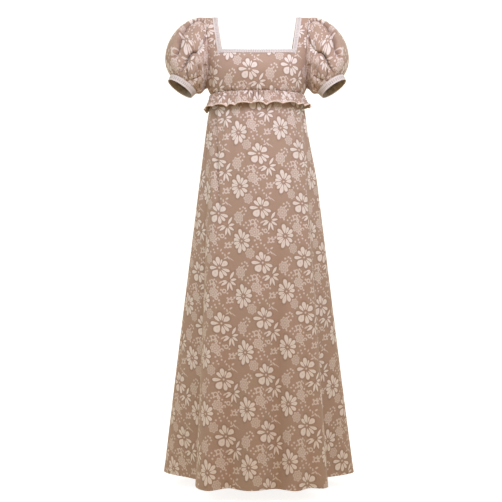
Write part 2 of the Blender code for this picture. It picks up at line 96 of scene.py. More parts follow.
# angle at the waist, angle further down, where it begins and ends, half width in degrees, depth
SKIRT_CREASES = (
    (296, 314, -0.05, 0.40, 2.8, 0.0100), (290, 290, 0.16, 1.25, 2.0, 0.0092),
    (280, 284, 0.03, 0.30, 2.4, 0.0034), (301, 309, 0.04, 0.25, 2.6, 0.0022),
    (322, 326, 0.10, 0.46, 3.4, 0.0018), (338, 340, -0.02, 0.16, 2.2, 0.0014),
    (14, 13, 0.00, 0.20, 2.4, 0.0012), (46, 40, 0.05, 0.38, 3.0, 0.0018),
    (65, 66, -0.03, 0.95, 2.4, 0.0085), (82, 79, 0.05, 0.24, 2.4, 0.0026),
    (103, 106, -0.02, 0.30, 2.8, 0.0030), (131, 136, 0.04, 0.22, 2.4, 0.0020),
    (163, 165, -0.02, 0.36, 2.8, 0.0024), (191, 190, 0.06, 0.26, 2.2, 0.0018),
    (212, 209, -0.03, 0.40, 3.0, 0.0028), (243, 239, 0.03, 0.28, 2.6, 0.0030),
)
LEFT_SEAM, RIGHT_SEAM = 6, 17

# Ruffle
RUFFLE_COLUMNS, RUFFLE_ROWS = 900, 24
RUFFLE_FULLNESS = 1.6
RUFFLE_TOP, RUFFLE_LENGTH, RUFFLE_LONGER_SIDE = -0.2299, 0.0362, 0.11
RUFFLE_FLARE, RUFFLE_SIDE_FLARE, RUFFLE_WAVE = 0.0150, 0.0020, 0.0085
# angle of each hanging tip from the front centre, how far it hangs, half width in degrees
RUFFLE_TIPS = (
    (-80, 0.0085, 6.5), (-57, 0.0035, 5.5), (-36, 0.0090, 4.0), (-25.5, 0.0075, 3.4), (-7, 0.0040, 4.5),
    (10.5, 0.0090, 4.2), (29, 0.0055, 4.6), (51, 0.0065, 4.6), (64, 0.0090, 4.0), (84, 0.0080, 6.0),
    (100, 0.0060, 6.0), (117, 0.0090, 4.6), (133, 0.0050, 4.4), (149, 0.0090, 5.2), (166, 0.0060, 4.4),
    (181, 0.0080, 4.6), (199, 0.0085, 5.0), (214, 0.0050, 4.2), (231, 0.0090, 5.2), (247, 0.0055, 5.0),
    (261, 0.0130, 6.0),
)

# Sleeve for the +X arm; the other is its mirror image
CUFF_CENTRE = (0.2290, -0.0300, -0.2165)
CUFF_AXIS = (0.549, -0.195, -0.814)
CUFF_WIDTH, CUFF_TOP_RADIUS, CUFF_RIM_RADIUS = 0.017, 0.0460, 0.0425
SLEEVE_INSIDE_CUFF = (0.75, 0.12)
SLEEVE_RISE = 0.0025
SLEEVE_TWIST = 0.1
ARMHOLE_GAP = 0.0005
SLEEVE_ROWS, SLEEVE_COLUMNS = 136, 330
# outward, forward and upward pull at the armhole, then inward and along the axis at the cuff:
# top, front, bottom, back
SLEEVE_PULLS = (
    (0.1500, 0.0000, 0.0450, 0.3050, 0.1250), (0.1100, -0.1800, 0.0000, 0.1400, 0.1100),
    (0.0500, -0.0150, -0.0040, 0.0800, 0.0120), (0.1100, 0.1900, 0.0000, 0.1400, 0.1100),
)
# place at the armhole and at the cuff as a share of the way round, begins, ends, width, depth
SLEEVE_FOLDS = (
    (0.167, 0.167, -0.08, 1.02, 0.034, 0.0120), (0.083, 0.083, 0.15, 0.92, 0.026, 0.0100),
    (0.250, 0.222, 0.50, 1.05, 0.030, 0.0080), (0.330, 0.310, 0.45, 1.05, 0.030, 0.0060),
    (0.833, 0.833, -0.08, 0.98, 0.034, 0.0110), (0.917, 0.917, 0.20, 0.92, 0.026, 0.0090),
    (0.750, 0.778, 0.40, 1.05, 0.034, 0.0080), (0.000, 0.000, -0.15, 0.35, 0.080, 0.0010),
)
# How far the longest fold strays from its straight line at each level, as a share of the way round
FOLD_LEVELS = (0.0, 0.06, 0.10, 0.153, 0.25, 0.33, 0.43, 0.507, 0.58, 0.677, 0.767, 0.83, 0.90, 1.0)
FOLD_WANDER = (
    (-0.055, 0.002, 0.025, 0.042, 0.040, 0.027, 0.005)
    + (-0.015, -0.027, -0.035, -0.042, -0.043, -0.048, -0.045)
)
# Sharp creases where the cloth folds over itself. Each row has the creases' depth, the height of the rolled
# cloth beside it, how far the cloth takes to rise again, and its line: share of the way round, level.
SLEEVE_SCALE = (0.57, 0.18)
SLEEVE_CREASES = (
    (
        (0.0165, 0.0034, 0.018),
        ((0.096, -0.04), (0.114, 0.0), (0.130, 0.013), (0.145, 0.027), (0.169, 0.06), (0.192, 0.10))
        + ((0.211, 0.153), (0.209, 0.24), (0.194, 0.33), (0.173, 0.43), (0.152, 0.507), (0.140, 0.58))
        + ((0.132, 0.677), (0.125, 0.767), (0.122, 0.83), (0.119, 0.887), (0.119, 0.937), (0.128, 0.985)),
    ),
    (
        (0.0125, 0.0032, 0.014),
        (
            (0.086, -0.03), (0.071, 0.007), (0.060, 0.05), (0.050, 0.13),
            (0.050, 0.22), (0.054, 0.34), (0.058, 0.46),
        ),
    ),
    (
        (0.0125, 0.0028, 0.012),
        (
            (0.053, 0.38), (0.057, 0.45), (0.064, 0.51), (0.072, 0.58),
            (0.076, 0.66), (0.074, 0.74), (0.066, 0.82),
        ),
    ),
    (
        (0.0062, 0.0014, 0.010),
        ((0.150, 0.86), (0.156, 0.925), (0.172, 0.962), (0.197, 0.974), (0.222, 0.972)),
    ),
    (
        (0.0050, 0.0012, 0.010),
        ((0.216, 0.974), (0.238, 0.915), (0.258, 0.850), (0.276, 0.76), (0.284, 0.69)),
    ),
    (
        (0.0030, 0.0012, 0.010),
        ((0.150, 0.87), (0.163, 0.81), (0.180, 0.722), (0.205, 0.665), (0.240, 0.640)),
    ),
    ((0.0040, 0.0010, 0.010), ((0.300, 0.90), (0.330, 0.90), (0.356, 0.93), (0.366, 0.985))),
    ((0.0030, 0.0010, 0.010), ((0.330, 0.05), (0.318, 0.16), (0.310, 0.30))),
    ((0.0085, 0.0024, 0.012), ((0.848, -0.02), (0.823, 0.08), (0.812, 0.26), (0.826, 0.45), (0.845, 0.62))),
    ((0.0055, 0.0018, 0.012), ((0.842, 0.58), (0.856, 0.72), (0.866, 0.84), (0.862, 0.95))),
    ((0.0060, 0.0018, 0.012), ((0.938, 0.10), (0.928, 0.26), (0.918, 0.45), (0.912, 0.66))),
    ((0.0036, 0.0012, 0.010), ((0.836, 0.90), (0.800, 0.945), (0.758, 0.965), (0.730, 0.93))),
    ((0.0030, 0.0010, 0.010), ((0.728, 0.94), (0.722, 0.84), (0.734, 0.74))),
)
# share of the way round, level, half width, half height and height of each puffed place
SLEEVE_PUFFS = (
    (0.204, 0.835, 0.048, 0.120, 0.0046), (0.120, 0.45, 0.060, 0.30, 0.0036),
    (0.785, 0.850, 0.052, 0.100, 0.0036), (0.885, 0.42, 0.045, 0.28, 0.0026),
)
CUFF_GATHERS, CUFF_GATHER_DEPTH, CUFF_GATHER_PLACE = 9, 0.0018, 0.84

# Floral repeat
REPEAT_ACROSS, REPEAT_DOWN, REPEAT_RISE, REPEAT_DRIFT = 0.1295, 0.1595, 0.0145, 0.033
CHART_UNIT = 0.0029


def unit(vectors):
    """The vectors at length 1."""
    return vectors / np.linalg.norm(vectors, axis=-1, keepdims=True)


def smoothstep(low, high, value):
    """A smooth rise from 0 at low to 1 at high."""
    share = np.clip((np.asarray(value, float) - low) / (high - low), 0.0, 1.0)
    return share * share * (3.0 - 2.0 * share)


def smooth_rows(rows, place):
    """The values of a table at a place between its rows, on smooth curves through them."""
    table = np.asarray(rows, float)
    place = np.clip(np.asarray(place, float), 0.0, len(table) - 1.0)
    low = np.minimum(place.astype(int), len(table) - 2)
    share = (place - low)[..., None]
    before, start = table[np.maximum(low - 1, 0)], table[low]
    end, after = table[low + 1], table[np.minimum(low + 2, len(table) - 1)]
    slope_start, slope_end = (end - before) / 2.0, (after - start) / 2.0
    square, cube = share**2, share**3
    return (
        (2 * cube - 3 * square + 1) * start
        + (cube - 2 * square + share) * slope_start
        + (3 * square - 2 * cube) * end
        + (cube - square) * slope_end
    )


def grid_normals(points, wrap):
    """Unit normals of a grid whose columns run to the right and rows run up, seen from outside."""
    if wrap:
        along = np.roll(points, -1, axis=1) - np.roll(points, 1, axis=1)
    else:
        along = np.gradient(points, axis=1)
    return unit(np.cross(along, np.gradient(points, axis=0)))


def arc_lengths(points, axis):
    """Distance along a grid's rows or columns, or along a line, from its first point."""
    steps = np.linalg.norm(np.diff(points, axis=axis), axis=-1)
    start = np.zeros_like(np.take(steps, [0], axis=axis))
    return np.cumsum(np.concatenate([start, steps], axis=axis), axis=axis)


def cloth_shell(name, points, normals, thickness, materials, cloth_map, wrap=False, keep=None):
    """A thin closed shell of cloth on a grid. The first material is its face and the second its reverse.
    cloth_map holds each point's place on the flat cloth, with one column more where the grid closes up."""
    rows, columns = points.shape[:2]
    cell_columns = columns if wrap else columns - 1
    if keep is None:
        keep = np.ones((rows - 1, cell_columns), bool)
    half = np.broadcast_to(np.asarray(thickness, float) / 2, (rows, columns))[..., None]
    count = rows * columns
    outer = (points + normals * half).reshape(-1, 3)
    inner = (points - normals * half).reshape(-1, 3)
    i, j = np.nonzero(keep)
    right = (j + 1) % columns
    a, b, c, d = i * columns + j, i * columns + right, (i + 1) * columns + right, (i + 1) * columns + j
    face = np.stack([a, b, c, d], axis=1)
    reverse = count + face[:, ::-1]
    corners = np.stack([[i, j], [i, j + 1], [i + 1, j + 1], [i + 1, j]]).transpose(2, 0, 1)
    # An edge that only one cell has is on the shell's rim.
    starts, ends = face.ravel(), np.roll(face, -1, axis=1).ravel()
    pairs = set(zip(starts.tolist(), ends.tolist()))
    places = corners.reshape(-1, 2)
    next_places = np.roll(corners, -1, axis=1).reshape(-1, 2)
    on_rim = np.array([(end, start) not in pairs for start, end in zip(starts.tolist(), ends.tolist())])
    rim_start, rim_end = starts[on_rim], ends[on_rim]
    rim = np.stack([rim_start, count + rim_start, count + rim_end, rim_end], axis=1)
    start_place, end_place = places[on_rim], next_places[on_rim]
    rim_places = np.stack([start_place, start_place, end_place, end_place], axis=1)
    faces = np.concatenate([face, reverse, rim])
    map_places = np.concatenate([corners, corners[:, ::-1], rim_places]).reshape(-1, 2)
    used = np.unique(faces)
    renumber = np.full(2 * count, -1)
    renumber[used] = np.arange(len(used))
    mesh = bpy.data.meshes.new(name)
    vertices = np.concatenate([outer, inner])[used]
    mesh.from_pydata(vertices.tolist(), [], renumber[faces].tolist())
    for material in materials:
        mesh.materials.append(material)
    slots = np.zeros(len(faces), int)
    slots[len(face) : 2 * len(face)] = len(materials) - 1
    mesh.polygons.foreach_set("material_index", slots)
    layer = mesh.uv_layers.new(name="cloth")
    layer.data.foreach_set("uv", cloth_map[map_places[:, 0], map_places[:, 1]].ravel())
    mesh.shade_smooth()
    mesh.set_sharp_from_angle(angle=math.radians(58))
    mesh.update()
    obj = bpy.data.objects.new(name, mesh)
    bpy.context.scene.collection.objects.link(obj)
    return obj


def dress(obj, node):
    """The piece rides with the gown in place of its solid."""
    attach(obj, "root")
    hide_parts(node)
    return obj


def repeat_map(across, down, start):
    """Where points of flat cloth lie in the floral repeat. start is the place of one daisy, in metres."""
    column = (across - start[0] - REPEAT_DRIFT * (down - start[1])) / REPEAT_ACROSS
    row = (down - start[1] + REPEAT_RISE * column) / REPEAT_DOWN
    return np.stack([column, row], axis=-1)


# Bodice


def torso_points(across, place):
    """Points of the bodice's form. across is an angle from the centre line and place a row of its table."""
    height, half_width, depth, _ = np.moveaxis(smooth_rows(BODICE_ROWS, place), -1, 0)
    angle = np.radians(across)
    dip = NECK_DIP * np.cos(angle) ** 6 * np.exp(-(((place - FRONT_NECK) / 1.2) ** 2))
    return np.stack([half_width * np.sin(angle), depth * np.cos(angle), height - dip], axis=-1)


def torso_normals(across, place):
    """Outward directions of the bodice's form."""
    step = 0.01
    sideways = torso_points(across + step, place) - torso_points(across - step, place)
    onward = torso_points(across, place + step) - torso_points(across, place - step)
    return unit(np.cross(sideways, onward))


def armhole_angle(place):
    """The angle from the centre line at which the bodice ends at its armhole or side seam."""
    return np.minimum(smooth_rows(BODICE_ROWS, place)[..., 3], SIDE_ANGLE)


def bodice_angles(place):
    """The angles of the bodice's columns at one level, from one armhole to the other."""
    edge = float(armhole_angle(np.array(place)))
    trim_edge = NECK_ANGLE + TRIM_ANGLE
    side = np.linspace(edge, trim_edge, SIDE_COLUMNS + 1)
    trim = np.linspace(trim_edge, NECK_ANGLE, TRIM_COLUMNS + 1)[1:]
    neck = np.linspace(NECK_ANGLE, -NECK_ANGLE, NECK_COLUMNS + 1)[1:]
    half = np.concatenate([side, trim])
    return np.concatenate([-half, -neck[:-1], half[::-1]])


def uneven_wave(turn, count, seed):
    """Gathers round a seam: about count rounded ridges in a whole turn with narrow valleys between them, of
    uneven width and height, from -1 to 1."""
    drift = 1.3 * np.sin(3.1 * turn + seed) + 0.8 * np.sin(7.3 * turn + 2.0 * seed)
    ridge = 1.0 - 2.0 * (1.0 - np.abs(np.sin((count * turn + drift) / 2.0))) ** 1.5
    fine = 0.45 * np.sin(2.3 * count * turn - 1.7 * drift + seed)
    strength = 0.72 + 0.28 * np.sin(5.7 * turn + 1.9 * seed)
    return (ridge + fine) / 1.45 * strength


def make_bodice(materials):
    """Front and back of the bodice, with square neck openings."""
    levels = np.arange(0.0, SHOULDER + BODICE_STEP / 2, BODICE_STEP)
    for name, facing, neck_level, start in (
        ("bodice_front", 1.0, FRONT_NECK, (-0.024, -0.063)),
        ("bodice_back", -1.0, BACK_WAIST - BACK_NECK, (0.010, -0.040)),
    ):
        place = levels if facing > 0 else BACK_WAIST - levels
        across = facing * np.array([bodice_angles(row) for row in place])
        place = np.broadcast_to(place[:, None], across.shape)
        points = torso_points(across, place)
        centre = points.shape[1] // 2
        normals = grid_normals(points, wrap=False)
        rise = arc_lengths(points, 0)
        round_torso = arc_lengths(points, 1)
        round_torso = round_torso - round_torso[:, centre : centre + 1]
        down = np.broadcast_to(-rise[:, centre : centre + 1], rise.shape)
        flat = repeat_map(round_torso * 1.04, down, start)
        height = points[..., 2] - WAIST_HEIGHT
        fade = 1.0 - smoothstep(0.0, BODICE_GATHER_REACH, height)
        fade = fade * smoothstep(0.0, 12.0, SIDE_ANGLE - np.abs(across))
        turn = np.radians(across) * BODICE_GATHERS
        wave = np.sin(turn + 0.9 * np.sin(3.0 * np.radians(across) + facing))
        shift = BODICE_GATHER_DEPTH * fade * wave
        # Short fine puckers stand right above the seam.
        reach = 0.024 + 0.011 * np.sin(np.radians(across) * 9.0 + 1.0)
        pucker = np.clip(1.0 - height / reach, 0.0, 1.0) ** 1.3
        shift = shift + 0.0036 * pucker * uneven_wave(np.radians(across), 56, 1.0 + facing)
        # The side seams pull the cloth in a little.
        shift = shift - 0.0009 * np.exp(-(((SIDE_ANGLE - np.abs(across)) / 2.2) ** 2))
        # The cloth rolls over the waist seam, which sinks in under it.
        roll = np.exp(-(((height - 0.0075) / 0.0048) ** 2)) - 1.3 * np.exp(-((height / 0.0028) ** 2))
        shift = shift + 0.0011 * roll * (0.75 + 0.35 * uneven_wave(np.radians(across), 40, 2.0))
        points = points + normals * shift[..., None]
        normals = grid_normals(points, wrap=False)
        normals[-1] = (0.0, 0.0, 1.0)
        for end in (0, -1):
            inner = 1 if end == 0 else -2
            points[:, end] += unit(points[:, inner] - points[:, end]) * SEAM_GAP / 2
        points[-1] += unit(points[-2] - points[-1]) * SEAM_GAP / 2
        neck_row = int(round(neck_level / BODICE_STEP))
        keep = np.ones((points.shape[0] - 1, points.shape[1] - 1), bool)
        neck_start = SIDE_COLUMNS + TRIM_COLUMNS
        keep[neck_row:, neck_start : neck_start + NECK_COLUMNS] = False
        shell = cloth_shell(f"{name}_cloth", points, normals, CLOTH, materials, flat, keep=keep)
        dress(shell, name)


# Trims

TRIM_ALONG = 0.0008
TRIM_ACROSS = 14
PICOT_PITCH, PICOT_DEPTH = 0.0044, 0.0006
STITCH_PITCH, STITCH_LENGTH, STITCH_RADIUS = 0.0050, 0.0030, 0.00040
STITCH_OFFSET = 0.0019


def trim_relief(share, width, along):
    """Height of the trim's face over its flat middle: beaded edges, and two sunk lines with needle holes."""
    edge = np.exp(-((share / 0.10) ** 2)) + np.exp(-(((1.0 - share) / 0.10) ** 2))
    bead = 0.5 + 0.5 * np.cos(2.0 * math.pi * along / PICOT_PITCH)
    beside = (np.abs(share - 0.5) * width - STITCH_OFFSET) / 0.0009
    hole = 0.5 + 0.5 * np.cos(2.0 * math.pi * along / STITCH_PITCH)
    return 0.00035 * edge * (0.45 + 0.55 * bead) - 0.00040 * np.exp(-(beside**2)) * (0.25 + 0.75 * hole)


def trim_strip(name, surface, length, width, materials):
    """A band of trim on a surface. surface gives points and normals for a place along it and across it,
    both from 0 to 1."""
    count = max(24, int(length / TRIM_ALONG))
    along, across = np.meshgrid(np.linspace(0.0, 1.0, count + 1), np.linspace(0.0, 1.0, TRIM_ACROSS + 1))
    # Distance along the trim is counted in whole stitches.
    distance = along * round(length / STITCH_PITCH) * STITCH_PITCH
    picot = PICOT_DEPTH / width * np.cos(2.0 * math.pi * distance / PICOT_PITCH)
    share = across + picot * (2.0 * across - 1.0) ** 3
    points, normals = surface(along, share)
    lift = (CLOTH + TRIM) / 2 + SEAM_GAP + trim_relief(across, width, distance)
    points = points + normals * lift[..., None]
    flat = np.stack([distance, (across - 0.5) * width], axis=-1)
    strip = cloth_shell(f"{name}_band", points, normals, TRIM, materials, flat)
    dress(strip, name)
    return strip


def stitch_rows(name, paths, material):
    """Short raised stitches along paths, as one object. A path is points with the surface's normals."""
    vertices, faces = [], []
    ring = 6
    for path, normals in paths:
        distance = arc_lengths(path, 0)
        total = round(distance[-1] / STITCH_PITCH)
        for number in range(total):
            middle = (number + 0.5) * distance[-1] / total
            spots = np.linspace(middle - STITCH_LENGTH / 2, middle + STITCH_LENGTH / 2, 4)
            line = np.stack([np.interp(spots, distance, path[:, k]) for k in range(3)], axis=1)
            upward = unit(np.array([np.interp(middle, distance, normals[:, k]) for k in range(3)]))
            ahead = unit(line[-1] - line[0])
            sideways = np.cross(ahead, upward)
            base = len(vertices)
            for place, size in zip(line, (0.45, 1.0, 1.0, 0.45)):
                for step in range(ring):
                    turn = 2.0 * math.pi * step / ring
                    spoke = sideways * math.cos(turn) * 1.2 + upward * math.sin(turn)
                    vertices.append(place + spoke * STITCH_RADIUS * size)
            for level in range(3):
                for step in range(ring):
                    a, b = base + level * ring + step, base + level * ring + (step + 1) % ring
                    faces.append((a, b, b + ring, a + ring))
            faces.append(tuple(base + step for step in range(ring))[::-1])
            faces.append(tuple(base + 3 * ring + step for step in range(ring)))
    mesh = bpy.data.meshes.new(name)
    mesh.from_pydata([tuple(v) for v in vertices], [], faces)
    mesh.materials.append(material)
    mesh.shade_smooth()
    obj = bpy.data.objects.new(name, mesh)
    bpy.context.scene.collection.objects.link(obj)
    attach(obj, "root")
    return obj


def neck_surfaces():
    """The strips of trim round the neck: name and surface."""
    inner, outer = NECK_ANGLE, NECK_ANGLE + TRIM_ANGLE
    bands = []
    for name, facing, top, below in (
        ("neck_trim_front", 1.0, FRONT_NECK, FRONT_NECK - FRONT_TRIM_ROWS),
        ("neck_trim_back", -1.0, BACK_NECK, BACK_NECK + BACK_TRIM_ROWS),
    ):

        def surface(along, share, facing=facing, top=top, below=below):
            across = facing * outer * (2.0 * along - 1.0)
            place = below + (top - below) * share
            return torso_points(across, place), torso_normals(across, place)

        bands.append((name, surface))
    for name, side in (("neck_trim_right", -1.0), ("neck_trim_left", 1.0)):

        def surface(along, share, side=side):
            first, last = (FRONT_NECK, BACK_NECK) if side > 0 else (BACK_NECK, FRONT_NECK)
            place = first + (last - first) * along
            across = side * (outer + (inner - outer) * share)
            return torso_points(across, place), torso_normals(across, place)

        bands.append((name, surface))
    return bands


def strip_size(surface):
    """How long the middle of a strip is, and how wide the strip is there."""
    line = np.linspace(0.0, 1.0, 200)
    middle = surface(line, np.full(200, 0.5))[0]
    across = surface(np.full(200, 0.5), line)[0]
    return float(arc_lengths(middle, 0)[-1].max()), float(np.linalg.norm(across[-1] - across[0]))


def make_neck_trim(materials, thread):
    """Flat trim round the neck with its two lines of stitches. Each strip is cut to its own length."""
    paths, bands = [], []
    for name, surface in neck_surfaces():
        length, width = strip_size(surface)
        bands.append((trim_strip(name, surface, length, width, materials), length, width))
        along = np.linspace(0.0, 1.0, 260)[None, :]
        for side in (-1.0, 1.0):
            points, normals = surface(along, 0 * along + 0.5 + side * STITCH_OFFSET / width)
            lift = CLOTH / 2 + SEAM_GAP + TRIM + STITCH_RADIUS * 0.1
            paths.append(((points + normals * lift)[0], normals[0]))
    stitches = stitch_rows("neck_stitches", paths, thread)
    for number, (band, length, width) in enumerate(bands):
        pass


# Skirt


def skirt_angles():
    """For each column of the skirt: its angle at the waist and at the hem, and its distance at the hem."""
    waist, hem, reach = np.array(SKIRT_FOLDS, float).T
    share = np.arange(COLUMNS_PER_FOLD) / COLUMNS_PER_FOLD
    eased = (1.0 - np.cos(math.pi * share)) / 2.0
    turns = []
    for values in (waist, hem):
        following = np.append(values[1:], values[0] + 360.0)
        turns.append((values[:, None] + (following - values)[:, None] * share).ravel())
    following = np.append(reach[1:], reach[0])
    distance = (reach[:, None] + (following - reach)[:, None] * eased).ravel()
    return turns[0], turns[1], distance


def oval_radius(angle, half_width, front_depth, back_depth):
    """Distance from the centre to an oval, at an angle from the front centre."""
    turn = np.radians(angle)
    depth = np.where(np.cos(turn) > 0, front_depth, back_depth)
    return 1.0 / np.hypot(np.sin(turn) / half_width, np.cos(turn) / depth)


def skirt_grid():
    """Points and normals of the whole skirt, rows running up from the hem, columns round to the right."""
    waist_angle, hem_angle, reach = skirt_angles()
    _, waist_width, waist_front, _ = BODICE_ROWS[0]
    waist_back = BODICE_ROWS[-1][2]
    turn = np.radians(waist_angle)
    waist_depth = np.where(np.cos(turn) > 0, -waist_front, waist_back)
    waist = np.stack([waist_width * np.sin(turn), -waist_depth * np.cos(turn)], axis=-1)
    smooth_reach = oval_radius(hem_angle, HEM_HALF_WIDTH, HEM_FRONT_DEPTH, HEM_BACK_DEPTH)
    ray = np.radians(hem_angle)
    direction = np.stack([np.sin(ray), -np.cos(ray)], axis=-1)
    # Rows stand closer together near the waist and at the hem.
    even = np.linspace(0.0, 1.0, SKIRT_ROWS + 1)
    drops = 1.0 - (0.55 * even + 0.45 * (1.0 - (1.0 - even) ** 2.2))
    rows = []
    for drop in drops:
        fold = (reach - smooth_reach) * drop**FOLD_GROWTH
        ring = waist * (1.0 - drop) + direction * (smooth_reach * drop + fold)[:, None]
        for side, out, kept in HIPS:
            hip = out * smoothstep(HIP_BEGINS, HIP_FULL, drop) * (1.0 - (1.0 - kept) * drop)
            ring[:, 0] += side * hip * np.clip(side * direction[:, 0], 0.0, 1.0)
        height = WAIST_HEIGHT + (HEM_HEIGHT - WAIST_HEIGHT) * drop
        rows.append(np.column_stack([ring, np.full(len(ring), height)]))
    points = np.array(rows)
    normals = grid_normals(points, wrap=True)
    drop = drops[:, None]
    fade = smoothstep(SKIRT_GATHER_BEGINS, SKIRT_GATHER_FULL, drop)
    fade = fade * (1.0 - smoothstep(SKIRT_GATHER_FULL, SKIRT_GATHER_ENDS, drop))
    wave = np.sin(turn * SKIRT_GATHERS + 0.8 * np.sin(turn * 2.0))
    shift = SKIRT_GATHER_DEPTH * fade * wave
    # Finer gathers run out unevenly below the seam.
    reach_down = 0.085 + 0.045 * np.sin(turn * 4.3 + 0.5) + 0.02 * np.sin(turn * 11.0)
    fine = np.clip(1.0 - drop / reach_down, 0.0, 1.0) * smoothstep(0.0, 0.012, drop)
    shift = shift + 0.0011 * fine * uneven_wave(turn, 58, 3.0)
    for at_waist, lower, begins, ends, half_width, depth in SKIRT_CREASES:
        middle = at_waist + (lower - at_waist) * drop / 0.4
        away = (waist_angle - middle + 180.0) % 360.0 - 180.0
        # A crease is steeper on its side towards the front centre.
        steep = np.where((away < 0.0) == (at_waist < 180.0), half_width * 0.7, half_width * 1.5)
        length = (ends - begins) * 0.4
        strength = smoothstep(begins, begins + length, drop) * (1.0 - smoothstep(ends - length, ends, drop))
        shift = shift - depth * np.exp(-((away / steep) ** 2)) * strength * smoothstep(0.0, 0.02, drop)
    # Long soft swells cross the panels, and the hem lifts and falls a little between the folds.
    swell = np.sin(5.0 * turn + 3.0 * drop + 0.4) * np.sin(math.pi * drop) * 0.0012
    points = points + normals * (shift + swell)[..., None]
    points[..., 2] += 0.0016 * np.sin(9.0 * turn + 1.0) * smoothstep(0.90, 1.0, drop)
    return points, grid_normals(points, wrap=True), drops


def make_skirt(materials):
    """Front and back of the skirt, which meet at the side seams."""
    points, normals, drops = skirt_grid()
    normals[0, :, 2] = 0.0
    normals[-1, :, 2] = 0.0
    normals = unit(normals)
    points[-1, :, 2] -= SEAM_GAP
    columns = points.shape[1]
    left, right = LEFT_SEAM * COLUMNS_PER_FOLD, RIGHT_SEAM * COLUMNS_PER_FOLD
    front = np.arange(right, left + columns + 1) % columns
    back = np.arange(left, right + 1)
    # A turned hem is twice as thick.
    distance = (HEM_HEIGHT - WAIST_HEIGHT) * (drops - 1.0)
    thickness = CLOTH * (1.0 + 0.8 * (1.0 - smoothstep(0.020, 0.024, np.abs(distance))))
    for name, chosen, start in (
        ("skirt_front", front, (0.0055, 0.189)),
        ("skirt_back", back, (0.010, 0.150)),
    ):
        panel, facing = points[:, chosen].copy(), normals[:, chosen]
        for end in (0, -1):
            inner = 1 if end == 0 else -2
            panel[:, end] += unit(panel[:, inner] - panel[:, end]) * SEAM_GAP / 2
        round_skirt = arc_lengths(panel, 1)
        # The panel's grain runs down its middle line, where x is zero.
        facing_x = panel[..., 0] * np.sign(panel[0, -1, 0] - panel[0, 0, 0])
        middle = np.array([np.interp(0.0, line, arc) for line, arc in zip(facing_x, round_skirt)])
        centre = int(np.argmin(np.abs(panel[-1, :, 0])))
        down = arc_lengths(panel[::-1], 0)[::-1][:, centre : centre + 1]
        flat = repeat_map(round_skirt - middle[:, None], np.broadcast_to(down, round_skirt.shape), start)
        shell = cloth_shell(f"{name}_cloth", panel, facing, thickness[:, None], materials, flat)
        dress(shell, name)


# Ruffle


def make_ruffle(materials, hem):
    """A gathered strip sewn into the waist seam, which stands away from the skirt in waves."""
    turn = math.pi + np.linspace(0.0, 2.0 * math.pi, RUFFLE_COLUMNS, endpoint=False)
    _, half_width, front_depth, _ = BODICE_ROWS[0]
    back_depth = BODICE_ROWS[-1][2]
    depth = np.where(np.cos(turn) > 0, -front_depth, back_depth)
    ring = np.stack([half_width * np.sin(turn), -depth * np.cos(turn)], axis=-1)
    outward = unit(np.stack([depth * np.sin(turn), -half_width * np.cos(turn)], axis=-1))
    hang = np.zeros(RUFFLE_COLUMNS)
    lean = np.zeros(RUFFLE_COLUMNS)
    for middle, tip, half_width_angle in RUFFLE_TIPS:
        away = ((np.degrees(turn) - middle + 180.0) % 360.0 - 180.0) / half_width_angle
        profile = np.exp(-(np.abs(away) ** 1.4))
        hang = hang + tip * profile
        # The cloth folds under on one side of a tip and swings out on the other.
        lean = lean + tip / 0.009 * away * np.exp(-(away**2))
    out = np.clip(1.0 - hang / 0.0095, 0.0, 1.0)
    length = RUFFLE_LENGTH * (1.0 - RUFFLE_LONGER_SIDE * np.sin(turn))
    flare = RUFFLE_FLARE + RUFFLE_SIDE_FLARE * np.sin(turn)
    shares = np.linspace(1.0, 0.0, RUFFLE_ROWS + 1) ** 0.9
    fine = uneven_wave(turn, 54, 5.0)
    rows = []
    for share in shares:
        reach = SOLID_CLOTH + SEAM_GAP + flare * share**1.3 + RUFFLE_WAVE * out * share**1.2
        reach = reach + 0.0035 * lean * share**1.5
        # A small heading stands out under the seam, and the edge is rolled outwards.
        reach = reach + 0.0012 * np.exp(-(((share - 0.14) / 0.10) ** 2))
        reach = reach + 0.0034 * smoothstep(0.88, 1.0, share)
        gather = 0.0054 * fine * smoothstep(0.0, 0.12, share) * (1.0 - 0.65 * smoothstep(0.3, 1.0, share))
        drop = length * share + hang * share**2
        drop = drop + 0.0007 * fine * share**2
        rows.append(np.column_stack([ring + outward * (reach + gather)[:, None], RUFFLE_TOP - drop]))
    points = np.array(rows)
    normals = grid_normals(points, wrap=True)
    normals[-1, :, 2] = 0.0
    normals = unit(normals)
    closed = np.concatenate([points, points[:, :1]], axis=1)
    round_waist = arc_lengths(closed[-1:], 1) * RUFFLE_FULLNESS
    down = np.linalg.norm(closed - closed[-1:], axis=-1)
    flat = repeat_map(np.broadcast_to(round_waist, down.shape), down, (0.0, 0.020))
    thickness = CLOTH * (0.9 + 1.3 * smoothstep(0.90, 0.95, shares))
    shell = cloth_shell(
        "waist_ruffle_cloth", points, normals, thickness[:, None], materials, flat, wrap=True
    )
    dress(shell, "waist_ruffle")
    # The narrow rolled hem shows the plain side of the cloth.
    shell.data.materials.append(hem)
    slots = np.zeros(len(shell.data.polygons), int)
    shell.data.polygons.foreach_get("material_index", slots)
    cells = RUFFLE_COLUMNS * RUFFLE_ROWS
    slots[: 2 * RUFFLE_COLUMNS] = 2
    slots[2 * cells : 2 * cells + RUFFLE_COLUMNS] = 2
    shell.data.polygons.foreach_set("material_index", slots)


# Sleeves


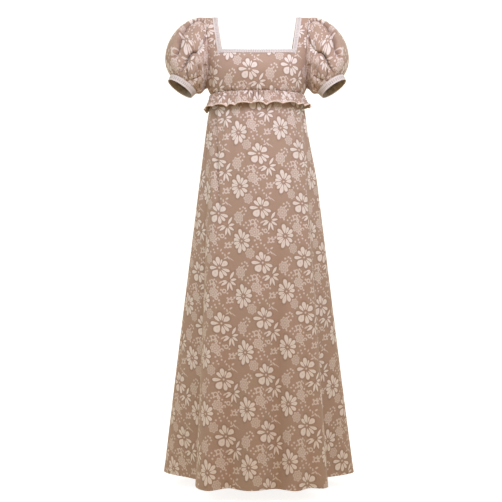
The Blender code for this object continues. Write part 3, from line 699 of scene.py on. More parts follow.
def armhole_loop(places):
    """Points round the +X armhole, from the shoulder down the front and up the back, and the direction in
    which each one faces away from the bodice's edge. places are shares of the way round."""
    table = np.array(ARMHOLE_PLACES)[:, None]
    spots = places % 1.0 * 2.0 * (len(table) - 1)
    falling = smooth_rows(table[::-1], spots)[:, 0]
    rising = smooth_rows(BACK_WAIST - table, spots - len(table) + 1)[:, 0]
    place = np.where(spots <= len(table) - 1, falling, rising)
    across = armhole_angle(place)
    edge = torso_points(across, place)
    outward = torso_normals(across, place)
    loop = np.roll(edge, -1, axis=0) - np.roll(edge, 1, axis=0)
    return edge, unit(np.cross(outward, loop))


def cuff_ring(share, inset, places):
    """A ring round the cuff's axis, starting at its upper outer side, and the directions out to its points.
    share is 0 at the cuff's open rim and 1 at its top. inset is the distance inside the cuff's wall."""
    axis = unit(np.array(CUFF_AXIS))
    upper = unit(np.cross(axis, [0.0, 1.0, 0.0]))
    upper = upper * math.copysign(1.0, upper[2])
    front = np.cross(upper, axis)
    front = front * math.copysign(1.0, -front[1])
    turn = 2.0 * math.pi * (places + SLEEVE_TWIST * np.sin(2.0 * math.pi * places))
    radial = np.cos(turn)[:, None] * upper + np.sin(turn)[:, None] * front
    radius = CUFF_RIM_RADIUS + (CUFF_TOP_RADIUS - CUFF_RIM_RADIUS) * min(share, 1.0) - inset
    return np.array(CUFF_CENTRE) - axis * CUFF_WIDTH * share + radial * radius, radial, axis


def sleeve_places():
    """Where the sleeve's columns stand, as shares of the way round from its top, from the underarm seam on.
    They are closest at the sharp creases."""
    even = np.linspace(-0.5, 0.5, 2001)
    density = 1.0 + 2.0 * np.exp(-(((even - 0.15) / 0.12) ** 2))
    density = density + 1.3 * np.exp(-(((even + 0.14) / 0.11) ** 2))
    passed = np.concatenate([[0.0], np.cumsum((density[1:] + density[:-1]) / 2)])
    return np.interp(np.arange(SLEEVE_COLUMNS) / SLEEVE_COLUMNS, passed / passed[-1], even)


def sleeve_pulls(places):
    """The pulls of the table above, blended smoothly round the sleeve."""
    values = np.array(SLEEVE_PULLS)
    place = 4.0 * (places % 1.0)
    low = place.astype(int)
    share = ((1.0 - np.cos(math.pi * (place - low))) / 2.0)[:, None]
    return values[low % 4] * (1.0 - share) + values[(low + 1) % 4] * share


def crease_relief(share_round, level, size, line):
    """A sharp crease along a line: rolled cloth on its upper side, which laps over a steep step into it.
    Gives the height, and how far the lap moves the cloth round the sleeve and down it."""
    depth, lip, reach = size
    scale = np.array(SLEEVE_SCALE)
    share_round, level = np.broadcast_arrays(share_round, level)
    place = np.stack([(share_round + 0.5 - line[0][0]) % 1.0 - 0.5 + line[0][0], level], axis=-1) * scale
    corners = np.array(line) * scale
    lengths = np.linalg.norm(np.diff(corners, axis=0), axis=1)
    passed = np.concatenate([[0.0], np.cumsum(lengths)]) / lengths.sum()
    nearest_distance = np.full(level.shape, np.inf)
    side, along = np.zeros(level.shape), np.zeros(level.shape)
    onward = np.zeros(level.shape + (2,))
    for number, (start, end) in enumerate(zip(corners[:-1], corners[1:])):
        step = end - start
        offset = place - start
        share = np.clip((offset @ step) / (step @ step), 0.0, 1.0)
        distance = np.linalg.norm(offset - share[..., None] * step, axis=-1)
        closer = distance < nearest_distance
        nearest_distance = np.where(closer, distance, nearest_distance)
        across = np.array([step[1], -step[0]]) / lengths[number]
        side = np.where(closer, np.sign(offset @ across), side)
        onward = np.where(closer[..., None], across, onward)
        along = np.where(closer, passed[number] + share * (passed[number + 1] - passed[number]), along)
    beside = nearest_distance * side
    if line[0][0] > 0.5:
        beside, onward = -beside, -onward
    drop = smoothstep(-0.0014, 0.0018, beside)
    roll = lip * np.exp(-(((beside + 0.005) / 0.006) ** 2)) * (1.0 - drop)
    past = np.clip(beside - 0.0022, 0.0, None)
    sink = depth * drop * (0.72 * np.exp(-((past / 0.0058) ** 2)) + 0.28 * np.exp(-((past / reach) ** 1.2)))
    fade = smoothstep(0.0, 0.05, along) * (1.0 - smoothstep(0.88, 1.0, along))
    lap = 0.3 * depth * np.exp(-((np.minimum(beside, 0.0) / 0.008) ** 2))
    lap = lap * (1.0 - smoothstep(-0.0004, 0.0022, beside))
    return np.concatenate([((roll - sink) * fade)[..., None], onward * (lap * fade)[..., None]], axis=-1)


def sleeve_shape(share_round, level):
    """How the sleeve's folds and cuff gathers move it: a grid of heights, and ways round it and down it."""
    depth = np.zeros(np.broadcast_shapes(share_round.shape, level.shape))
    wander = np.interp(level, FOLD_LEVELS, FOLD_WANDER)
    for at_head, at_cuff, begins, ends, width, deep in SLEEVE_FOLDS:
        middle = at_head + (at_cuff - at_head) * level
        if at_head == 0.167:
            middle = middle + wander
        if at_head == 0.833:
            middle = middle - 0.7 * wander
        away = (share_round - middle + 0.5) % 1.0 - 0.5
        steep = np.where(away < 0.0, width * 0.55, width * 1.7)
        profile = np.exp(-((away / steep) ** 2))
        length = (ends - begins) * 0.28
        fade = smoothstep(begins, begins + length, level) * (1.0 - smoothstep(ends - length, ends, level))
        depth = depth + deep * profile * fade
    for at_share, at_level, half_width, half_height, height in SLEEVE_PUFFS:
        squared = ((share_round - at_share) / half_width) ** 2 + ((level - at_level) / half_height) ** 2
        depth = depth - height * np.exp(-1.6 * squared)
    creases = sum(crease_relief(share_round, level, size, line) for size, line in SLEEVE_CREASES)
    gather = np.exp(-(((level - CUFF_GATHER_PLACE) / 0.14) ** 2))
    wave = np.sin(2.0 * math.pi * CUFF_GATHERS * share_round)
    ends_fade = smoothstep(0.0, 0.04, level) * (1.0 - smoothstep(0.96, 1.0, level))
    creases[..., 0] -= depth + CUFF_GATHER_DEPTH * gather * wave
    return creases * ends_fade[..., None]


def sleeve_puckers(share_round, level):
    """Fine gathers at the sleeve's head and above its cuff, as a grid of heights."""
    turn = 2.0 * math.pi * share_round
    head_reach = 0.10 + 0.05 * np.sin(3.0 * turn + 1.0)
    head = np.clip(1.0 - level / head_reach, 0.0, 1.0) * smoothstep(0.0, 0.02, level)
    head = head * (0.35 + 0.65 * np.clip(np.cos(turn), 0.0, 1.0))
    cuff_reach = 0.16 + 0.06 * np.sin(4.0 * turn + 0.4)
    cuff = np.clip((level - 1.0 + cuff_reach) / cuff_reach, 0.0, 1.0) * (1.0 - smoothstep(0.97, 1.0, level))
    return 0.0006 * head * uneven_wave(turn, 34, 2.0) + 0.0011 * cuff * uneven_wave(turn, 30, 4.0)


def sleeve_grid():
    """Points and normals of the +X sleeve, rows running from the armhole to inside the cuff."""
    places = sleeve_places()
    edge, away = armhole_loop(places)
    pulls = sleeve_pulls(places)
    leaving = pulls[:, :3]
    slant = (unit(leaving) * away).sum(axis=1, keepdims=True)
    start = edge + away * (ARMHOLE_GAP + SOLID_CLOTH / 2 * np.sqrt(1.0 - slant**2))
    inset = (SOLID_CLOTH + SOLID_TRIM) / 2 + SEAM_GAP
    end, radial, axis = cuff_ring(1.0 + SLEEVE_RISE / CUFF_WIDTH, inset, places)
    arriving = axis * pulls[:, 4:5] - radial * pulls[:, 3:4]
    levels = np.linspace(0.0, 1.0, SLEEVE_ROWS + 1)
    rows = []
    for level in levels:
        square, cube = level**2, level**3
        rows.append(
            (2 * cube - 3 * square + 1) * start
            + (cube - 2 * square + level) * leaving
            + (3 * square - 2 * cube) * end
            + (cube - square) * arriving
        )
    points = np.array(rows)
    normals = grid_normals(points, wrap=True)
    share_round, level = places[None, :], levels[:, None]
    moved = sleeve_shape(share_round, level)
    moved[..., 0] += sleeve_puckers(share_round, level)
    round_it = unit(np.roll(points, -1, axis=1) - np.roll(points, 1, axis=1))
    down_it = unit(np.gradient(points, axis=0))
    points = points + normals * moved[..., :1] + round_it * moved[..., 1:2] + down_it * moved[..., 2:]
    inside = [cuff_ring(share, inset, places)[0] for share in SLEEVE_INSIDE_CUFF]
    points = np.concatenate([points, np.array(inside)])
    return points, grid_normals(points, wrap=True)


def mirrored(grid):
    """The grid on the other side of the gown, with its columns reversed so that it still faces out."""
    return (grid * np.array([-1.0, 1.0, 1.0]))[:, ::-1]


def make_sleeves(materials):
    """The two puff sleeves, open at the armhole and inside the cuff."""
    points, normals = sleeve_grid()
    places = sleeve_places()
    # The cloth is flat round the widest part of the sleeve and gathered into the armhole and the cuff.
    widest = points[SLEEVE_ROWS // 2]
    girth = float(np.linalg.norm(np.roll(widest, -1, axis=0) - widest, axis=1).sum())
    lengths = arc_lengths(points, 0)
    down = lengths[:, int(np.argmin(np.abs(places - 0.167)))]
    # The cut is as wide as the widest part and as long as its top line.
    # The two sleeves mirror each other, figure and all.
    for side, turned, facing, line in (
        ("left", points, normals, np.append(places, places[0] + 1.0)),
        ("right", mirrored(points), mirrored(normals), np.append(places[::-1], places[-1] - 1.0)),
    ):
        across, along = np.meshgrid((line - 0.167) * girth, down)
        place = repeat_map(across, along, (-0.034, 0.143))
        shell = cloth_shell(f"sleeve_{side}_cloth", turned, facing, CLOTH, materials, place, wrap=True)
        dress(shell, f"sleeve_{side}")


def make_cuffs(materials, thread):
    """A trim band round the end of each sleeve, with two lines of stitches."""
    columns = 340
    places = np.arange(columns) / columns
    shares = np.linspace(1.0, 0.0, TRIM_ACROSS + 1)
    length = math.pi * (CUFF_TOP_RADIUS + CUFF_RIM_RADIUS)
    stitches = round(length / STITCH_PITCH)
    # Distance round the cuff is counted in whole stitches, and its edge has whole beads.
    bead = places * stitches * STITCH_PITCH
    pitch = stitches * STITCH_PITCH / round(length / PICOT_PITCH)
    rows = []
    for share in shares:
        picot = PICOT_DEPTH * np.cos(2.0 * math.pi * bead / pitch) * (2.0 * share - 1.0) ** 3
        ring, radial, axis = cuff_ring(share, 0.0, places)
        relief = trim_relief(share, CUFF_WIDTH, bead)
        rows.append(ring - axis * picot[:, None] + radial * relief[:, None])
    points = np.array(rows)
    normals = grid_normals(points, wrap=True)
    along = np.append(bead, stitches * STITCH_PITCH)
    flat = np.stack(np.meshgrid(along, (shares - 0.5) * CUFF_WIDTH), axis=-1)
    paths = []
    for side in (-1.0, 1.0):
        line = 0.5 + side * STITCH_OFFSET / CUFF_WIDTH
        ring, radial, _ = cuff_ring(line, -(TRIM / 2 + STITCH_RADIUS * 0.1), places)
        paths.append((np.concatenate([ring, ring[:1]]), np.concatenate([radial, radial[:1]])))
    for side in ("left", "right"):
        if side == "right":
            points, normals = mirrored(points), mirrored(normals)
            paths = [(path * (-1.0, 1.0, 1.0), facing * (-1.0, 1.0, 1.0)) for path, facing in paths]
        band = cloth_shell(f"cuff_{side}_band", points, normals, TRIM, materials, flat, wrap=True)
        dress(band, f"cuff_{side}")
        line = stitch_rows(f"cuff_stitches_{side}", paths, thread)


# Materials


class Nodes:
    """Short ways to add shader nodes. A value that is a socket is linked, and any other is set."""

    def __init__(self, tree):
        self.tree = tree

    def add(self, kind, values=(), **settings):
        node = self.tree.nodes.new(kind)
        for key, value in settings.items():
            setattr(node, key, value)
        return self.put(node, values)

    def put(self, node, values):
        for key, value in dict(values).items():
            if isinstance(value, bpy.types.NodeSocket):
                self.tree.links.new(value, node.inputs[key])
            else:
                node.inputs[key].default_value = value
        return node

    def math(self, operation, first, second=0.0, third=0.0, clamp=False):
        values = {0: first, 1: second, 2: third}
        return self.add("ShaderNodeMath", values, operation=operation, use_clamp=clamp).outputs[0]

    def vector(self, operation, first, second=(0.0, 0.0, 0.0), third=(0.0, 0.0, 0.0)):
        values = {0: first, 1: second, 2: third}
        return self.add("ShaderNodeVectorMath", values, operation=operation).outputs[0]

    def length(self, value):
        return self.add("ShaderNodeVectorMath", {0: value}, operation="LENGTH").outputs["Value"]

    def distance(self, first, second):
        values = {0: first, 1: second}
        return self.add("ShaderNodeVectorMath", values, operation="DISTANCE").outputs["Value"]

    def dot(self, first, second):
        values = {0: first, 1: second}
        return self.add("ShaderNodeVectorMath", values, operation="DOT_PRODUCT").outputs["Value"]

    def ramp(self, value, low, high, start=0.0, end=1.0):
        values = {"Value": value, "From Min": low, "From Max": high, "To Min": start, "To Max": end}
        node = self.add("ShaderNodeMapRange", values, interpolation_type="SMOOTHSTEP", clamp=True)
        return node.outputs[0]

    def noise(self, vector, scale, detail=2.0, roughness=0.5):
        values = {"Vector": vector, "Scale": scale, "Detail": detail, "Roughness": roughness}
        return self.add("ShaderNodeTexNoise", values)

    def mix(self, share, first, second, blend="MIX"):
        values = {0: share, 6: first, 7: second}
        return self.add("ShaderNodeMix", values, data_type="RGBA", blend_type=blend).outputs[2]


# The chart's unit is CHART_UNIT, with x to the right and y up from the large daisy's centre.
# angle of each petal, its length and its half angle
DAISY_PETALS = (
    (37, 9.8, 21.5), (72, 8.8, 7.5), (100, 11.0, 16), (134, 9.6, 13), (179, 11.3, 12.5), (230, 10.8, 26),
    (281, 10.9, 15), (312, 10.6, 11), (340, 10.8, 11.5),
)
TALL_DAISY_PETALS = (
    (6, 9.0, 15.5), (39, 10.2, 14.5), (70, 9.6, 11), (98, 12.2, 13.5), (137, 10.0, 14.5),
    (166, 8.6, 12.5), (199, 8.8, 13.5), (227, 9.8, 12.5), (255, 12.4, 12.5), (286, 10.6, 14),
    (322, 9.2, 15.5),
)
# angle, start, end and half width of each leaf of the fan
FAN_LEAVES = (
    (58, 1.6, 10.8, 1.45), (10, 1.3, 8.3, 1.40), (-34, 1.3, 9.0, 1.40), (-73, 1.6, 11.2, 1.25),
    (-100, 1.6, 10.8, 1.20), (-147, 1.3, 9.8, 1.40), (186, 2.2, 7.2, 1.05),
)
# place to the right and up, lobes, size, height for its width, strength
ROSETTES = (
    (-8.4, 30.6, 7, 5.1, 1.0, 0.80), (-12.8, 9.3, 7, 4.7, 1.1, 0.66), (-22.8, -9.6, 8, 4.8, 1.3, 0.74),
)
# place to the right and up from the large daisy, radius, strength
RINGS = (
    (-8.8, -14.2, 2.1, 0.85), (-24.6, -3.8, 1.6, 0.80), (3.9, -23.2, 1.7, 0.85), (-4.1, 24.9, 1.4, 0.75),
    (9.2, 22.1, 1.9, 0.85), (-5.8, -17.6, 1.1, 0.75), (-0.8, -26.6, 1.5, 0.60),
)
# place to the right and up from the large daisy, for round dots of one size
DOTS = (
    (-26.8, 0.6), (-23.4, 1.9), (-18.1, 0.6), (-21.4, -0.9), (-16.1, -0.6), (-15.2, -3.0), (-27.2, -8.6),
    (-17.2, -6.6), (-26.2, -15.8), (-21.6, -16.6), (-18.0, -17.4), (-15.6, -14.9), (-13.2, -17.6),
    (-15.0, -20.4), (-5.6, -11.8), (-6.2, -15.2), (-11.9, -13.0), (-10.7, -17.0), (-2.4, -19.4),
    (-1.2, 19.3), (-5.8, 18.2), (-7.2, 22.2), (-1.6, 22.6), (6.2, 20.2), (12.0, 20.8), (10.6, 25.2),
    (6.9, 24.6), (0.8, -22.0), (7.0, -25.4), (-4.6, 15.4), (3.6, 14.6), (-9.6, 16.0),
)
DOT_RADIUS = 1.05
# place to the right and up, angle, half length, half width
SINGLE_LEAVES = (
    (9.9, 14.6, 30, 1.9, 1.05), (6.0, 12.6, 98, 1.9, 0.80), (6.3, 9.6, 24, 2.3, 0.80),
    (9.2, 10.2, -50, 2.6, 0.80), (12.4, 8.4, -38, 3.2, 0.45), (0.8, -14.4, 30, 2.9, 1.0),
    (14.0, 25.2, 38, 1.7, 1.1), (11.9, 23.4, -22, 1.5, 0.9), (16.2, 27.2, 70, 1.3, 0.8),
    (-3.6, -13.6, -60, 1.6, 0.7), (-19.4, -3.4, 48, 1.7, 0.8), (-28.4, -12.8, 70, 1.9, 0.8),
    (2.2, 17.6, 60, 1.6, 0.8), (-2.6, 28.8, -35, 1.5, 0.8),
)


def chart_place(nodes, repeat, right, up):
    """Place within the repeat, in chart units from a motif's middle."""
    column = (right + REPEAT_DRIFT * up) * CHART_UNIT / REPEAT_ACROSS
    row = (-up * CHART_UNIT + REPEAT_RISE * column) / REPEAT_DOWN
    moved = nodes.vector("SUBTRACT", repeat, (column, row, 0.0))
    near = nodes.vector("WRAP", moved, (0.5, 0.5, 0.5), (-0.5, -0.5, -0.5))
    across = nodes.dot(near, (REPEAT_ACROSS / CHART_UNIT, 0.0, 0.0))
    rise = nodes.dot(near, (REPEAT_RISE / CHART_UNIT, -REPEAT_DOWN / CHART_UNIT, 0.0))
    return nodes.add("ShaderNodeCombineXYZ", {0: across, 1: rise}).outputs[0]


def oval(nodes, place, middle, angle, long_half, short_half):
    """0 at the middle of an oval and 1 at its edge."""
    values = {
        "Vector": place,
        "Location": (middle[0], middle[1], 0.0),
        "Rotation": (0.0, 0.0, math.radians(angle)),
        "Scale": (long_half, short_half, 1.0),
    }
    return nodes.length(nodes.add("ShaderNodeMapping", values, vector_type="TEXTURE").outputs[0])


def leaf(nodes, place, middle, angle, long_half, short_half):
    """0 to 1 inside a leaf with two pointed ends, and more outside."""
    bow = (long_half**2 + short_half**2) / (2.0 * short_half)
    values = {
        "Vector": place,
        "Location": (middle[0], middle[1], 0.0),
        "Rotation": (0.0, 0.0, math.radians(angle)),
        "Scale": (bow, bow, 1.0),
    }
    turned = nodes.add("ShaderNodeMapping", values, vector_type="TEXTURE").outputs[0]
    folded = nodes.vector("ADD", nodes.vector("ABSOLUTE", turned), (0.0, 1.0 - short_half / bow, 0.0))
    # The distance from the leaf's edge is scaled so that its middle line is 0.
    edge = nodes.math("SUBTRACT", nodes.length(folded), 1.0)
    return nodes.math("MULTIPLY_ADD", edge, bow / short_half, 1.0)


def nearest(nodes, shapes):
    """The least of several shapes' values. Each shape joins as soon as it is made."""
    least = None
    for shape in shapes:
        least = shape if least is None else nodes.math("MINIMUM", least, shape)
    return least


def rays(angle, start, half_length):
    """The middle of a leaf that leaves a centre at an angle."""
    turn = math.radians(angle)
    return (math.cos(turn) * (start + half_length), math.sin(turn) * (start + half_length))


def round_centre(nodes, place, cut):
    """Angle in degrees, from cut to cut + 360, and distance from a motif's centre, as one vector."""
    turn = math.radians(cut + 180.0)
    values = {"Vector": place, "Rotation": (0.0, 0.0, -turn)}
    parts = nodes.add("ShaderNodeSeparateXYZ", {0: nodes.add("ShaderNodeMapping", values).outputs[0]})
    angle = nodes.math("ARCTAN2", parts.outputs[1], parts.outputs[0])
    angle = nodes.math("MULTIPLY_ADD", angle, 180.0 / math.pi, cut + 180.0)
    return nodes.add("ShaderNodeCombineXYZ", {0: angle, 1: nodes.length(place)}).outputs[0]


def flower(nodes, place, petals, cut, heart):
    """Petals that widen from the centre: how much of each point is petal, and its dark outline."""
    polar = round_centre(nodes, place, cut)
    shapes = (
        oval(nodes, polar, (angle, (long * 1.08 + heart) / 2), 0.0, half * 1.06, (long * 0.96 - heart) / 2)
        for angle, long, half in petals
    )
    petal = nearest(nodes, shapes)
    body = nodes.ramp(petal, 1.04, 0.84)
    vein = nodes.ramp(petal, 0.45, 0.10, 0.0, 0.20)
    outline = nodes.math("SUBTRACT", nodes.ramp(petal, 1.55, 1.10), body, clamp=True)
    body = nodes.math("SUBTRACT", body, vein, clamp=True)
    distance = nodes.length(place)
    body = nodes.math("MULTIPLY", body, nodes.ramp(distance, heart * 0.75, heart * 1.25))
    body = nodes.math("MAXIMUM", body, nodes.ramp(distance, heart * 0.62, heart * 0.34, 0.0, 0.85))
    return body, outline


def rosette_mask(nodes, repeat, right, up, lobes, size, tall, level):
    """A faint rosette: light lines round two rings of petals and a dot in the middle."""
    place = chart_place(nodes, repeat, right, up)
    squeezed = nodes.vector("MULTIPLY", place, (1.0 / size, 1.0 / (size * tall), 0.0))
    parts = nodes.add("ShaderNodeSeparateXYZ", {0: squeezed})
    turn = nodes.math("ARCTAN2", parts.outputs[1], parts.outputs[0])
    distance = nodes.length(squeezed)
    total = nodes.ramp(distance, 0.24, 0.10, 0.0, level)
    for start, radius, bulge, width in ((0.4, 0.76, 0.26, 0.15), (1.9, 0.42, 0.16, 0.22)):
        lobe = nodes.math("SINE", nodes.math("MULTIPLY_ADD", turn, lobes / 2.0, start))
        lobe = nodes.math("ABSOLUTE", lobe)
        rounds = nodes.math("DIVIDE", distance, nodes.math("MULTIPLY_ADD", lobe, bulge, radius))
        line = nodes.math("ABSOLUTE", nodes.math("SUBTRACT", rounds, 0.92))
        line = nodes.ramp(line, width, 0.04, 0.0, level)
        total = nodes.math("MAXIMUM", total, line)
        if radius > 0.5:
            total = nodes.math("MAXIMUM", total, nodes.ramp(rounds, 1.05, 0.90, 0.0, level * 0.42))
    return total


def chart_masks(nodes, repeat):
    """The share of motif and of dark outline that each part of the chart gives, one after another."""
    place = chart_place(nodes, repeat, 0.0, 0.0)
    yield flower(nodes, place, DAISY_PETALS, 5.0, 1.9)
    ring = nearest(
        nodes,
        (
            nodes.math(
                "ABSOLUTE",
                nodes.math("SUBTRACT", nodes.distance(place, (right, up, 0.0)), radius),
            )
            for right, up, radius, _ in RINGS
        ),
    )
    yield nodes.ramp(ring, 0.80, 0.40, 0.0, 0.72), None
    dot = nearest(nodes, (nodes.distance(place, (right, up, 0.0)) for right, up in DOTS))
    yield nodes.ramp(dot, DOT_RADIUS * 1.15, DOT_RADIUS * 0.7, 0.0, 0.72), None
    single = nearest(
        nodes,
        (leaf(nodes, place, (right, up), *shape) for right, up, *shape in SINGLE_LEAVES),
    )
    yield nodes.ramp(single, 1.05, 0.65, 0.0, 0.75), None
    place = chart_place(nodes, repeat, -21.5, 21.7)
    yield flower(nodes, place, TALL_DAISY_PETALS, -10.0, 1.7)
    place = chart_place(nodes, repeat, 9.4, -12.7)
    leaves = nearest(
        nodes,
        (
            leaf(nodes, place, rays(angle, start, (long - start) / 2), angle, (long - start) / 2, half)
            for angle, start, long, half in FAN_LEAVES
        ),
    )
    body = nodes.ramp(leaves, 1.05, 0.70)
    yield body, nodes.math("SUBTRACT", nodes.ramp(leaves, 2.0, 1.2), body, clamp=True)
    for row in ROSETTES:
        yield rosette_mask(nodes, repeat, *row), None


def chart_mask(nodes, repeat):
    """How much of each point of the repeat is motif, and how much is dark outline, from 0 to 1."""
    total = outline = None
    for mask, dark in chart_masks(nodes, repeat):
        total = mask if total is None else nodes.math("MAXIMUM", total, mask)
        if dark is not None:
            outline = dark if outline is None else nodes.math("MAXIMUM", outline, dark)
    return total, nodes.math("MULTIPLY", outline, nodes.math("SUBTRACT", 1.0, total, clamp=True))


def pattern_group():
    """The floral repeat as one node group: place in the repeat in, shares of motif and dark outline out."""
    group = bpy.data.node_groups.new("floral_repeat", "ShaderNodeTree")
    group.interface.new_socket("Place", in_out="INPUT", socket_type="NodeSocketVector")
    group.interface.new_socket("Motif", in_out="OUTPUT", socket_type="NodeSocketFloat")
    group.interface.new_socket("Outline", in_out="OUTPUT", socket_type="NodeSocketFloat")
    nodes = Nodes(group)
    start = nodes.add("NodeGroupInput")
    end = nodes.add("NodeGroupOutput")
    motif, outline = chart_mask(nodes, start.outputs["Place"])
    group.links.new(motif, end.inputs["Motif"])
    group.links.new(outline, end.inputs["Outline"])
    return group


def new_material(name):
    """A new material, the helper that adds its nodes, and its shader."""
    material = bpy.data.materials.new(name)
    material.use_nodes = True
    return material, Nodes(material.node_tree), material.node_tree.nodes["Principled BSDF"]


def make_brocade(group):
    """Figured cloth: taupe ground, pinkish cream motifs, a fine weave under both."""
    material, nodes, shader = new_material("brocade_face")
    cloth = nodes.add("ShaderNodeUVMap", uv_map="cloth").outputs[0]
    wander = nodes.noise(cloth, 26.0, 1.0).outputs["Color"]
    wander = nodes.vector("SUBTRACT", wander, (0.5, 0.5, 0.5))
    moved = nodes.vector("MULTIPLY_ADD", wander, (0.012, 0.012, 0.0), cloth)
    motif = nodes.add("ShaderNodeGroup", {"Place": moved}, node_tree=group)
    share = motif.outputs["Motif"]
    drift = nodes.noise(cloth, 2.3, 2.0).outputs["Fac"]
    mottle = nodes.noise(cloth, 60.0, 3.0, 0.6).outputs["Fac"]
    ground = nodes.mix(nodes.ramp(drift, 0.35, 0.65), (0.385, 0.254, 0.198, 1), (0.370, 0.254, 0.190, 1))
    ground = nodes.mix(nodes.ramp(mottle, 0.30, 0.75, 0.0, 0.6), ground, (0.465, 0.340, 0.280, 1))
    outline = nodes.math("MULTIPLY", motif.outputs["Outline"], 0.6)
    ground = nodes.mix(outline, ground, (0.285, 0.195, 0.150, 1))
    figure = nodes.mix(nodes.ramp(drift, 0.30, 0.70), (0.755, 0.668, 0.640, 1), (0.735, 0.660, 0.625, 1))
    colour = nodes.mix(share, ground, figure)
    # Warp and weft threads
    weave_place = nodes.vector("MULTIPLY", cloth, (REPEAT_ACROSS, REPEAT_DOWN, 0.0))
    warp = nodes.add("ShaderNodeTexWave", {"Vector": weave_place, "Scale": 420.0}, bands_direction="X")
    weft = nodes.add("ShaderNodeTexWave", {"Vector": weave_place, "Scale": 380.0}, bands_direction="Y")
    thread = nodes.math("MULTIPLY", warp.outputs["Fac"], weft.outputs["Fac"])
    shade = nodes.ramp(thread, 0.0, 0.6, 0.93, 1.03)
    tint = nodes.add("ShaderNodeCombineXYZ", {0: shade, 1: shade, 2: shade}).outputs[0]
    colour = nodes.mix(1.0, colour, tint, "MULTIPLY")
    nodes.put(shader, {"Base Color": colour, "Roughness": nodes.ramp(share, 0.0, 1.0, 0.78, 0.58)})
    slubs = nodes.noise(cloth, 75.0, 2.0).outputs["Fac"]
    height = nodes.math("MULTIPLY_ADD", slubs, 0.8, nodes.math("MULTIPLY", thread, 0.35))
    bump = nodes.add("ShaderNodeBump", {"Strength": 0.35, "Distance": 0.0006, "Height": height})
    nodes.put(shader, {"Normal": bump.outputs[0], "Specular IOR Level": 0.3})
    nodes.put(shader, {"Sheen Weight": 0.25, "Sheen Roughness": 0.5})
    return material


def make_reverse_with_painted_shade(group):
    """The cloth's reverse: darker, with the motifs faintly showing through. The darkness is partly the
    reverse's own tone and partly painted shade for the shaded insides of the cuffs and the underside of the
    ruffle.
    """
    material, nodes, shader = new_material("brocade_reverse_painted_shade")
    cloth = nodes.add("ShaderNodeUVMap", uv_map="cloth").outputs[0]
    motif = nodes.add("ShaderNodeGroup", {"Place": cloth}, node_tree=group)
    floats = nodes.noise(cloth, 90.0, 2.0).outputs["Fac"]
    # Mid brown ground and dark brown motifs: partly the reverse's own tone, partly painted shade for the
    # shaded insides where the reverse shows.
    ground = nodes.mix(floats, (0.37, 0.29, 0.205, 1), (0.46, 0.37, 0.275, 1))
    colour = nodes.mix(nodes.math("MULTIPLY", motif.outputs["Motif"], 0.6), ground, (0.20, 0.145, 0.10, 1))
    bump = nodes.add("ShaderNodeBump", {"Strength": 0.3, "Distance": 0.0005, "Height": floats})
    nodes.put(shader, {"Base Color": colour, "Roughness": 0.85, "Normal": bump.outputs[0]})
    nodes.put(shader, {"Sheen Weight": 0.15})
    return material


def make_trim_material(name, colour, other):
    """White woven band: fine ribs across it and two rows of small holes, where the needle went in."""
    material, nodes, shader = new_material(name)
    cloth = nodes.add("ShaderNodeUVMap", uv_map="cloth").outputs[0]
    rib = nodes.add("ShaderNodeTexWave", {"Vector": cloth, "Scale": 290.0}, bands_direction="X")
    rib = rib.outputs["Fac"]
    mottle = nodes.noise(cloth, 900.0, 2.0).outputs["Fac"]
    tone = nodes.mix(nodes.ramp(mottle, 0.3, 0.7), colour, other)
    tone = nodes.mix(nodes.ramp(rib, 0.35, 0.0, 0.0, 0.22), tone, tuple(0.72 * c for c in other[:3]) + (1,))
    parts = nodes.add("ShaderNodeSeparateXYZ", {0: cloth})
    along = nodes.math("PINGPONG", parts.outputs[0], STITCH_PITCH / 2)
    beside = nodes.math("SUBTRACT", nodes.math("ABSOLUTE", parts.outputs[1]), STITCH_OFFSET)
    hole = nodes.length(nodes.add("ShaderNodeCombineXYZ", {0: along, 1: beside}).outputs[0])
    dark = tuple(0.38 * c for c in colour[:3]) + (1,)
    tone = nodes.mix(nodes.ramp(hole, 0.0019, 0.0008, 0.0, 0.9), tone, dark)
    height = nodes.math("MULTIPLY_ADD", mottle, 0.4, rib)
    bump = nodes.add("ShaderNodeBump", {"Strength": 0.4, "Distance": 0.0004, "Height": height})
    nodes.put(shader, {"Base Color": tone, "Roughness": 0.7, "Normal": bump.outputs[0]})
    nodes.put(shader, {"Sheen Weight": 0.2})
    return material


def make_thread(name, colour, other):
    """Matt thread, slightly uneven in tone."""
    material, nodes, shader = new_material(name)
    place = nodes.add("ShaderNodeTexCoord").outputs["Object"]
    twist = nodes.noise(place, 1500.0, 2.0).outputs["Fac"]
    nodes.put(shader, {"Base Color": nodes.mix(twist, colour, other), "Roughness": 0.65})
    bump = nodes.add("ShaderNodeBump", {"Strength": 0.3, "Distance": 0.0002, "Height": twist})
    nodes.put(shader, {"Normal": bump.outputs[0]})
    return material


# Stage


def add_object(name, data):
    """A new object in the scene's collection."""
    thing = bpy.data.objects.new(name, data)
    bpy.context.scene.collection.objects.link(thing)
    return thing


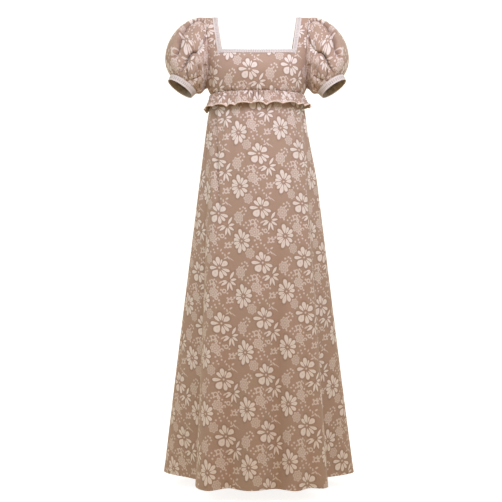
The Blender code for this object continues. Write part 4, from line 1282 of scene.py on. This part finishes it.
def make_stage():
    """A pale floor that curves up into a backdrop."""
    floor_height, front, back, top, bend = -1.400, -5.0, 4.8, 5.0, 1.6
    profile = [(front, floor_height)]
    for step in range(25):
        turn = math.pi / 2 * step / 24
        profile.append((back - bend + bend * math.sin(turn), floor_height + bend - bend * math.cos(turn)))
    profile.append((back, top))
    half = 6.0
    vertices = [(side * half, y, z) for y, z in profile for side in (-1.0, 1.0)]
    faces = [(2 * k, 2 * k + 1, 2 * k + 3, 2 * k + 2) for k in range(len(profile) - 1)]
    mesh = bpy.data.meshes.new("backdrop")
    mesh.from_pydata(vertices, [], faces)
    mesh.shade_smooth()
    material, nodes, shader = new_material("backdrop_paper")
    grain = nodes.noise(nodes.add("ShaderNodeTexCoord").outputs["Object"], 40.0, 2.0).outputs["Fac"]
    tone = nodes.mix(grain, (0.56, 0.57, 0.58, 1), (0.60, 0.61, 0.62, 1))
    nodes.put(shader, {"Base Color": tone, "Roughness": 0.9})
    # The paper is lit from behind at the back only.
    parts = nodes.add("ShaderNodeSeparateXYZ", {0: nodes.add("ShaderNodeTexCoord").outputs["Object"]})
    glow = nodes.ramp(parts.outputs[1], -1.2, -0.3, 0.35, 0.86)
    nodes.put(shader, {"Emission Strength": glow, "Emission Color": (1.0, 1.0, 1.0, 1.0)})
    mesh.materials.append(material)
    backdrop = add_object("backdrop", mesh)
    # The paper is seen, but it throws no light back onto the cloth.
    backdrop.visible_diffuse = False
    backdrop.visible_glossy = False


def make_light(name, place, aim, size, energy, colour):
    data = bpy.data.lights.new(name, "AREA")
    data.shape = "RECTANGLE"
    data.size, data.size_y = size
    data.energy = energy
    data.color = colour
    light = add_object(name, data)
    light.location = place
    direction = np.array(aim, float) - np.array(place, float)
    yaw = math.atan2(direction[0], direction[1])
    pitch = math.atan2(direction[2], math.hypot(direction[0], direction[1]))
    light.rotation_euler = (math.pi / 2 + pitch, 0.0, -yaw)
    light.visible_camera = False


def make_world():
    world = bpy.data.worlds.new("studio")
    world.use_nodes = True
    background = world.node_tree.nodes["Background"]
    background.inputs["Color"].default_value = (1.0, 0.76, 0.475, 1.0)
    background.inputs["Strength"].default_value = 0.66
    bpy.context.scene.world = world


def make_camera():
    data = bpy.data.cameras.new("camera")
    data.lens, data.sensor_width = 81.25, 36.0
    data.clip_end = 50.0
    camera = add_object("camera", data)
    camera.location = (-0.018, -3.4, -0.699)
    camera.rotation_euler = (math.pi / 2, 0.0, 0.0)
    bpy.context.scene.camera = camera


def main():
    bpy.context.scene.view_settings.view_transform = "Standard"
    make_camera()
    make_world()
    make_light("key", (0.22, -0.98, 0.45), (0.0, 0.0, -0.20), (0.7, 0.5), 13.0, (0.74, 0.78, 0.96))
    make_light("side_left", (-2.0, -0.7, 0.1), (0.0, 0.0, -0.4), (1.2, 1.4), 15.0, (0.50, 0.78, 1.0))
    make_light("side_right", (2.0, -0.7, 0.1), (0.0, 0.0, -0.4), (1.2, 1.4), 11.0, (0.50, 0.78, 1.0))
    make_light("back_left", (1.9, 3.0, 1.6), (0.0, 0.0, -0.7), (1.2, 1.2), 14.0, (1.0, 0.98, 0.95))
    make_light("back_right", (-1.9, 3.0, 1.6), (0.0, 0.0, -0.7), (1.2, 1.2), 14.0, (1.0, 0.98, 0.95))
    make_stage()
    group = pattern_group()
    brocade = [make_brocade(group), make_reverse_with_painted_shade(group)]
    white = [
        make_trim_material("trim_band", (0.61, 0.555, 0.545, 1), (0.68, 0.63, 0.62, 1)),
        make_trim_material("trim_reverse", (0.62, 0.58, 0.54, 1), (0.70, 0.66, 0.62, 1)),
    ]
    thread = make_thread("trim_thread", (0.68, 0.62, 0.60, 1), (0.75, 0.70, 0.69, 1))
    make_bodice(brocade)
    make_neck_trim(white, thread)
    make_skirt(brocade)
    make_ruffle(brocade, make_thread("rolled_hem", (0.66, 0.52, 0.45, 1), (0.78, 0.64, 0.57, 1)))
    make_sleeves(brocade)
    make_cuffs(white, thread)


main()
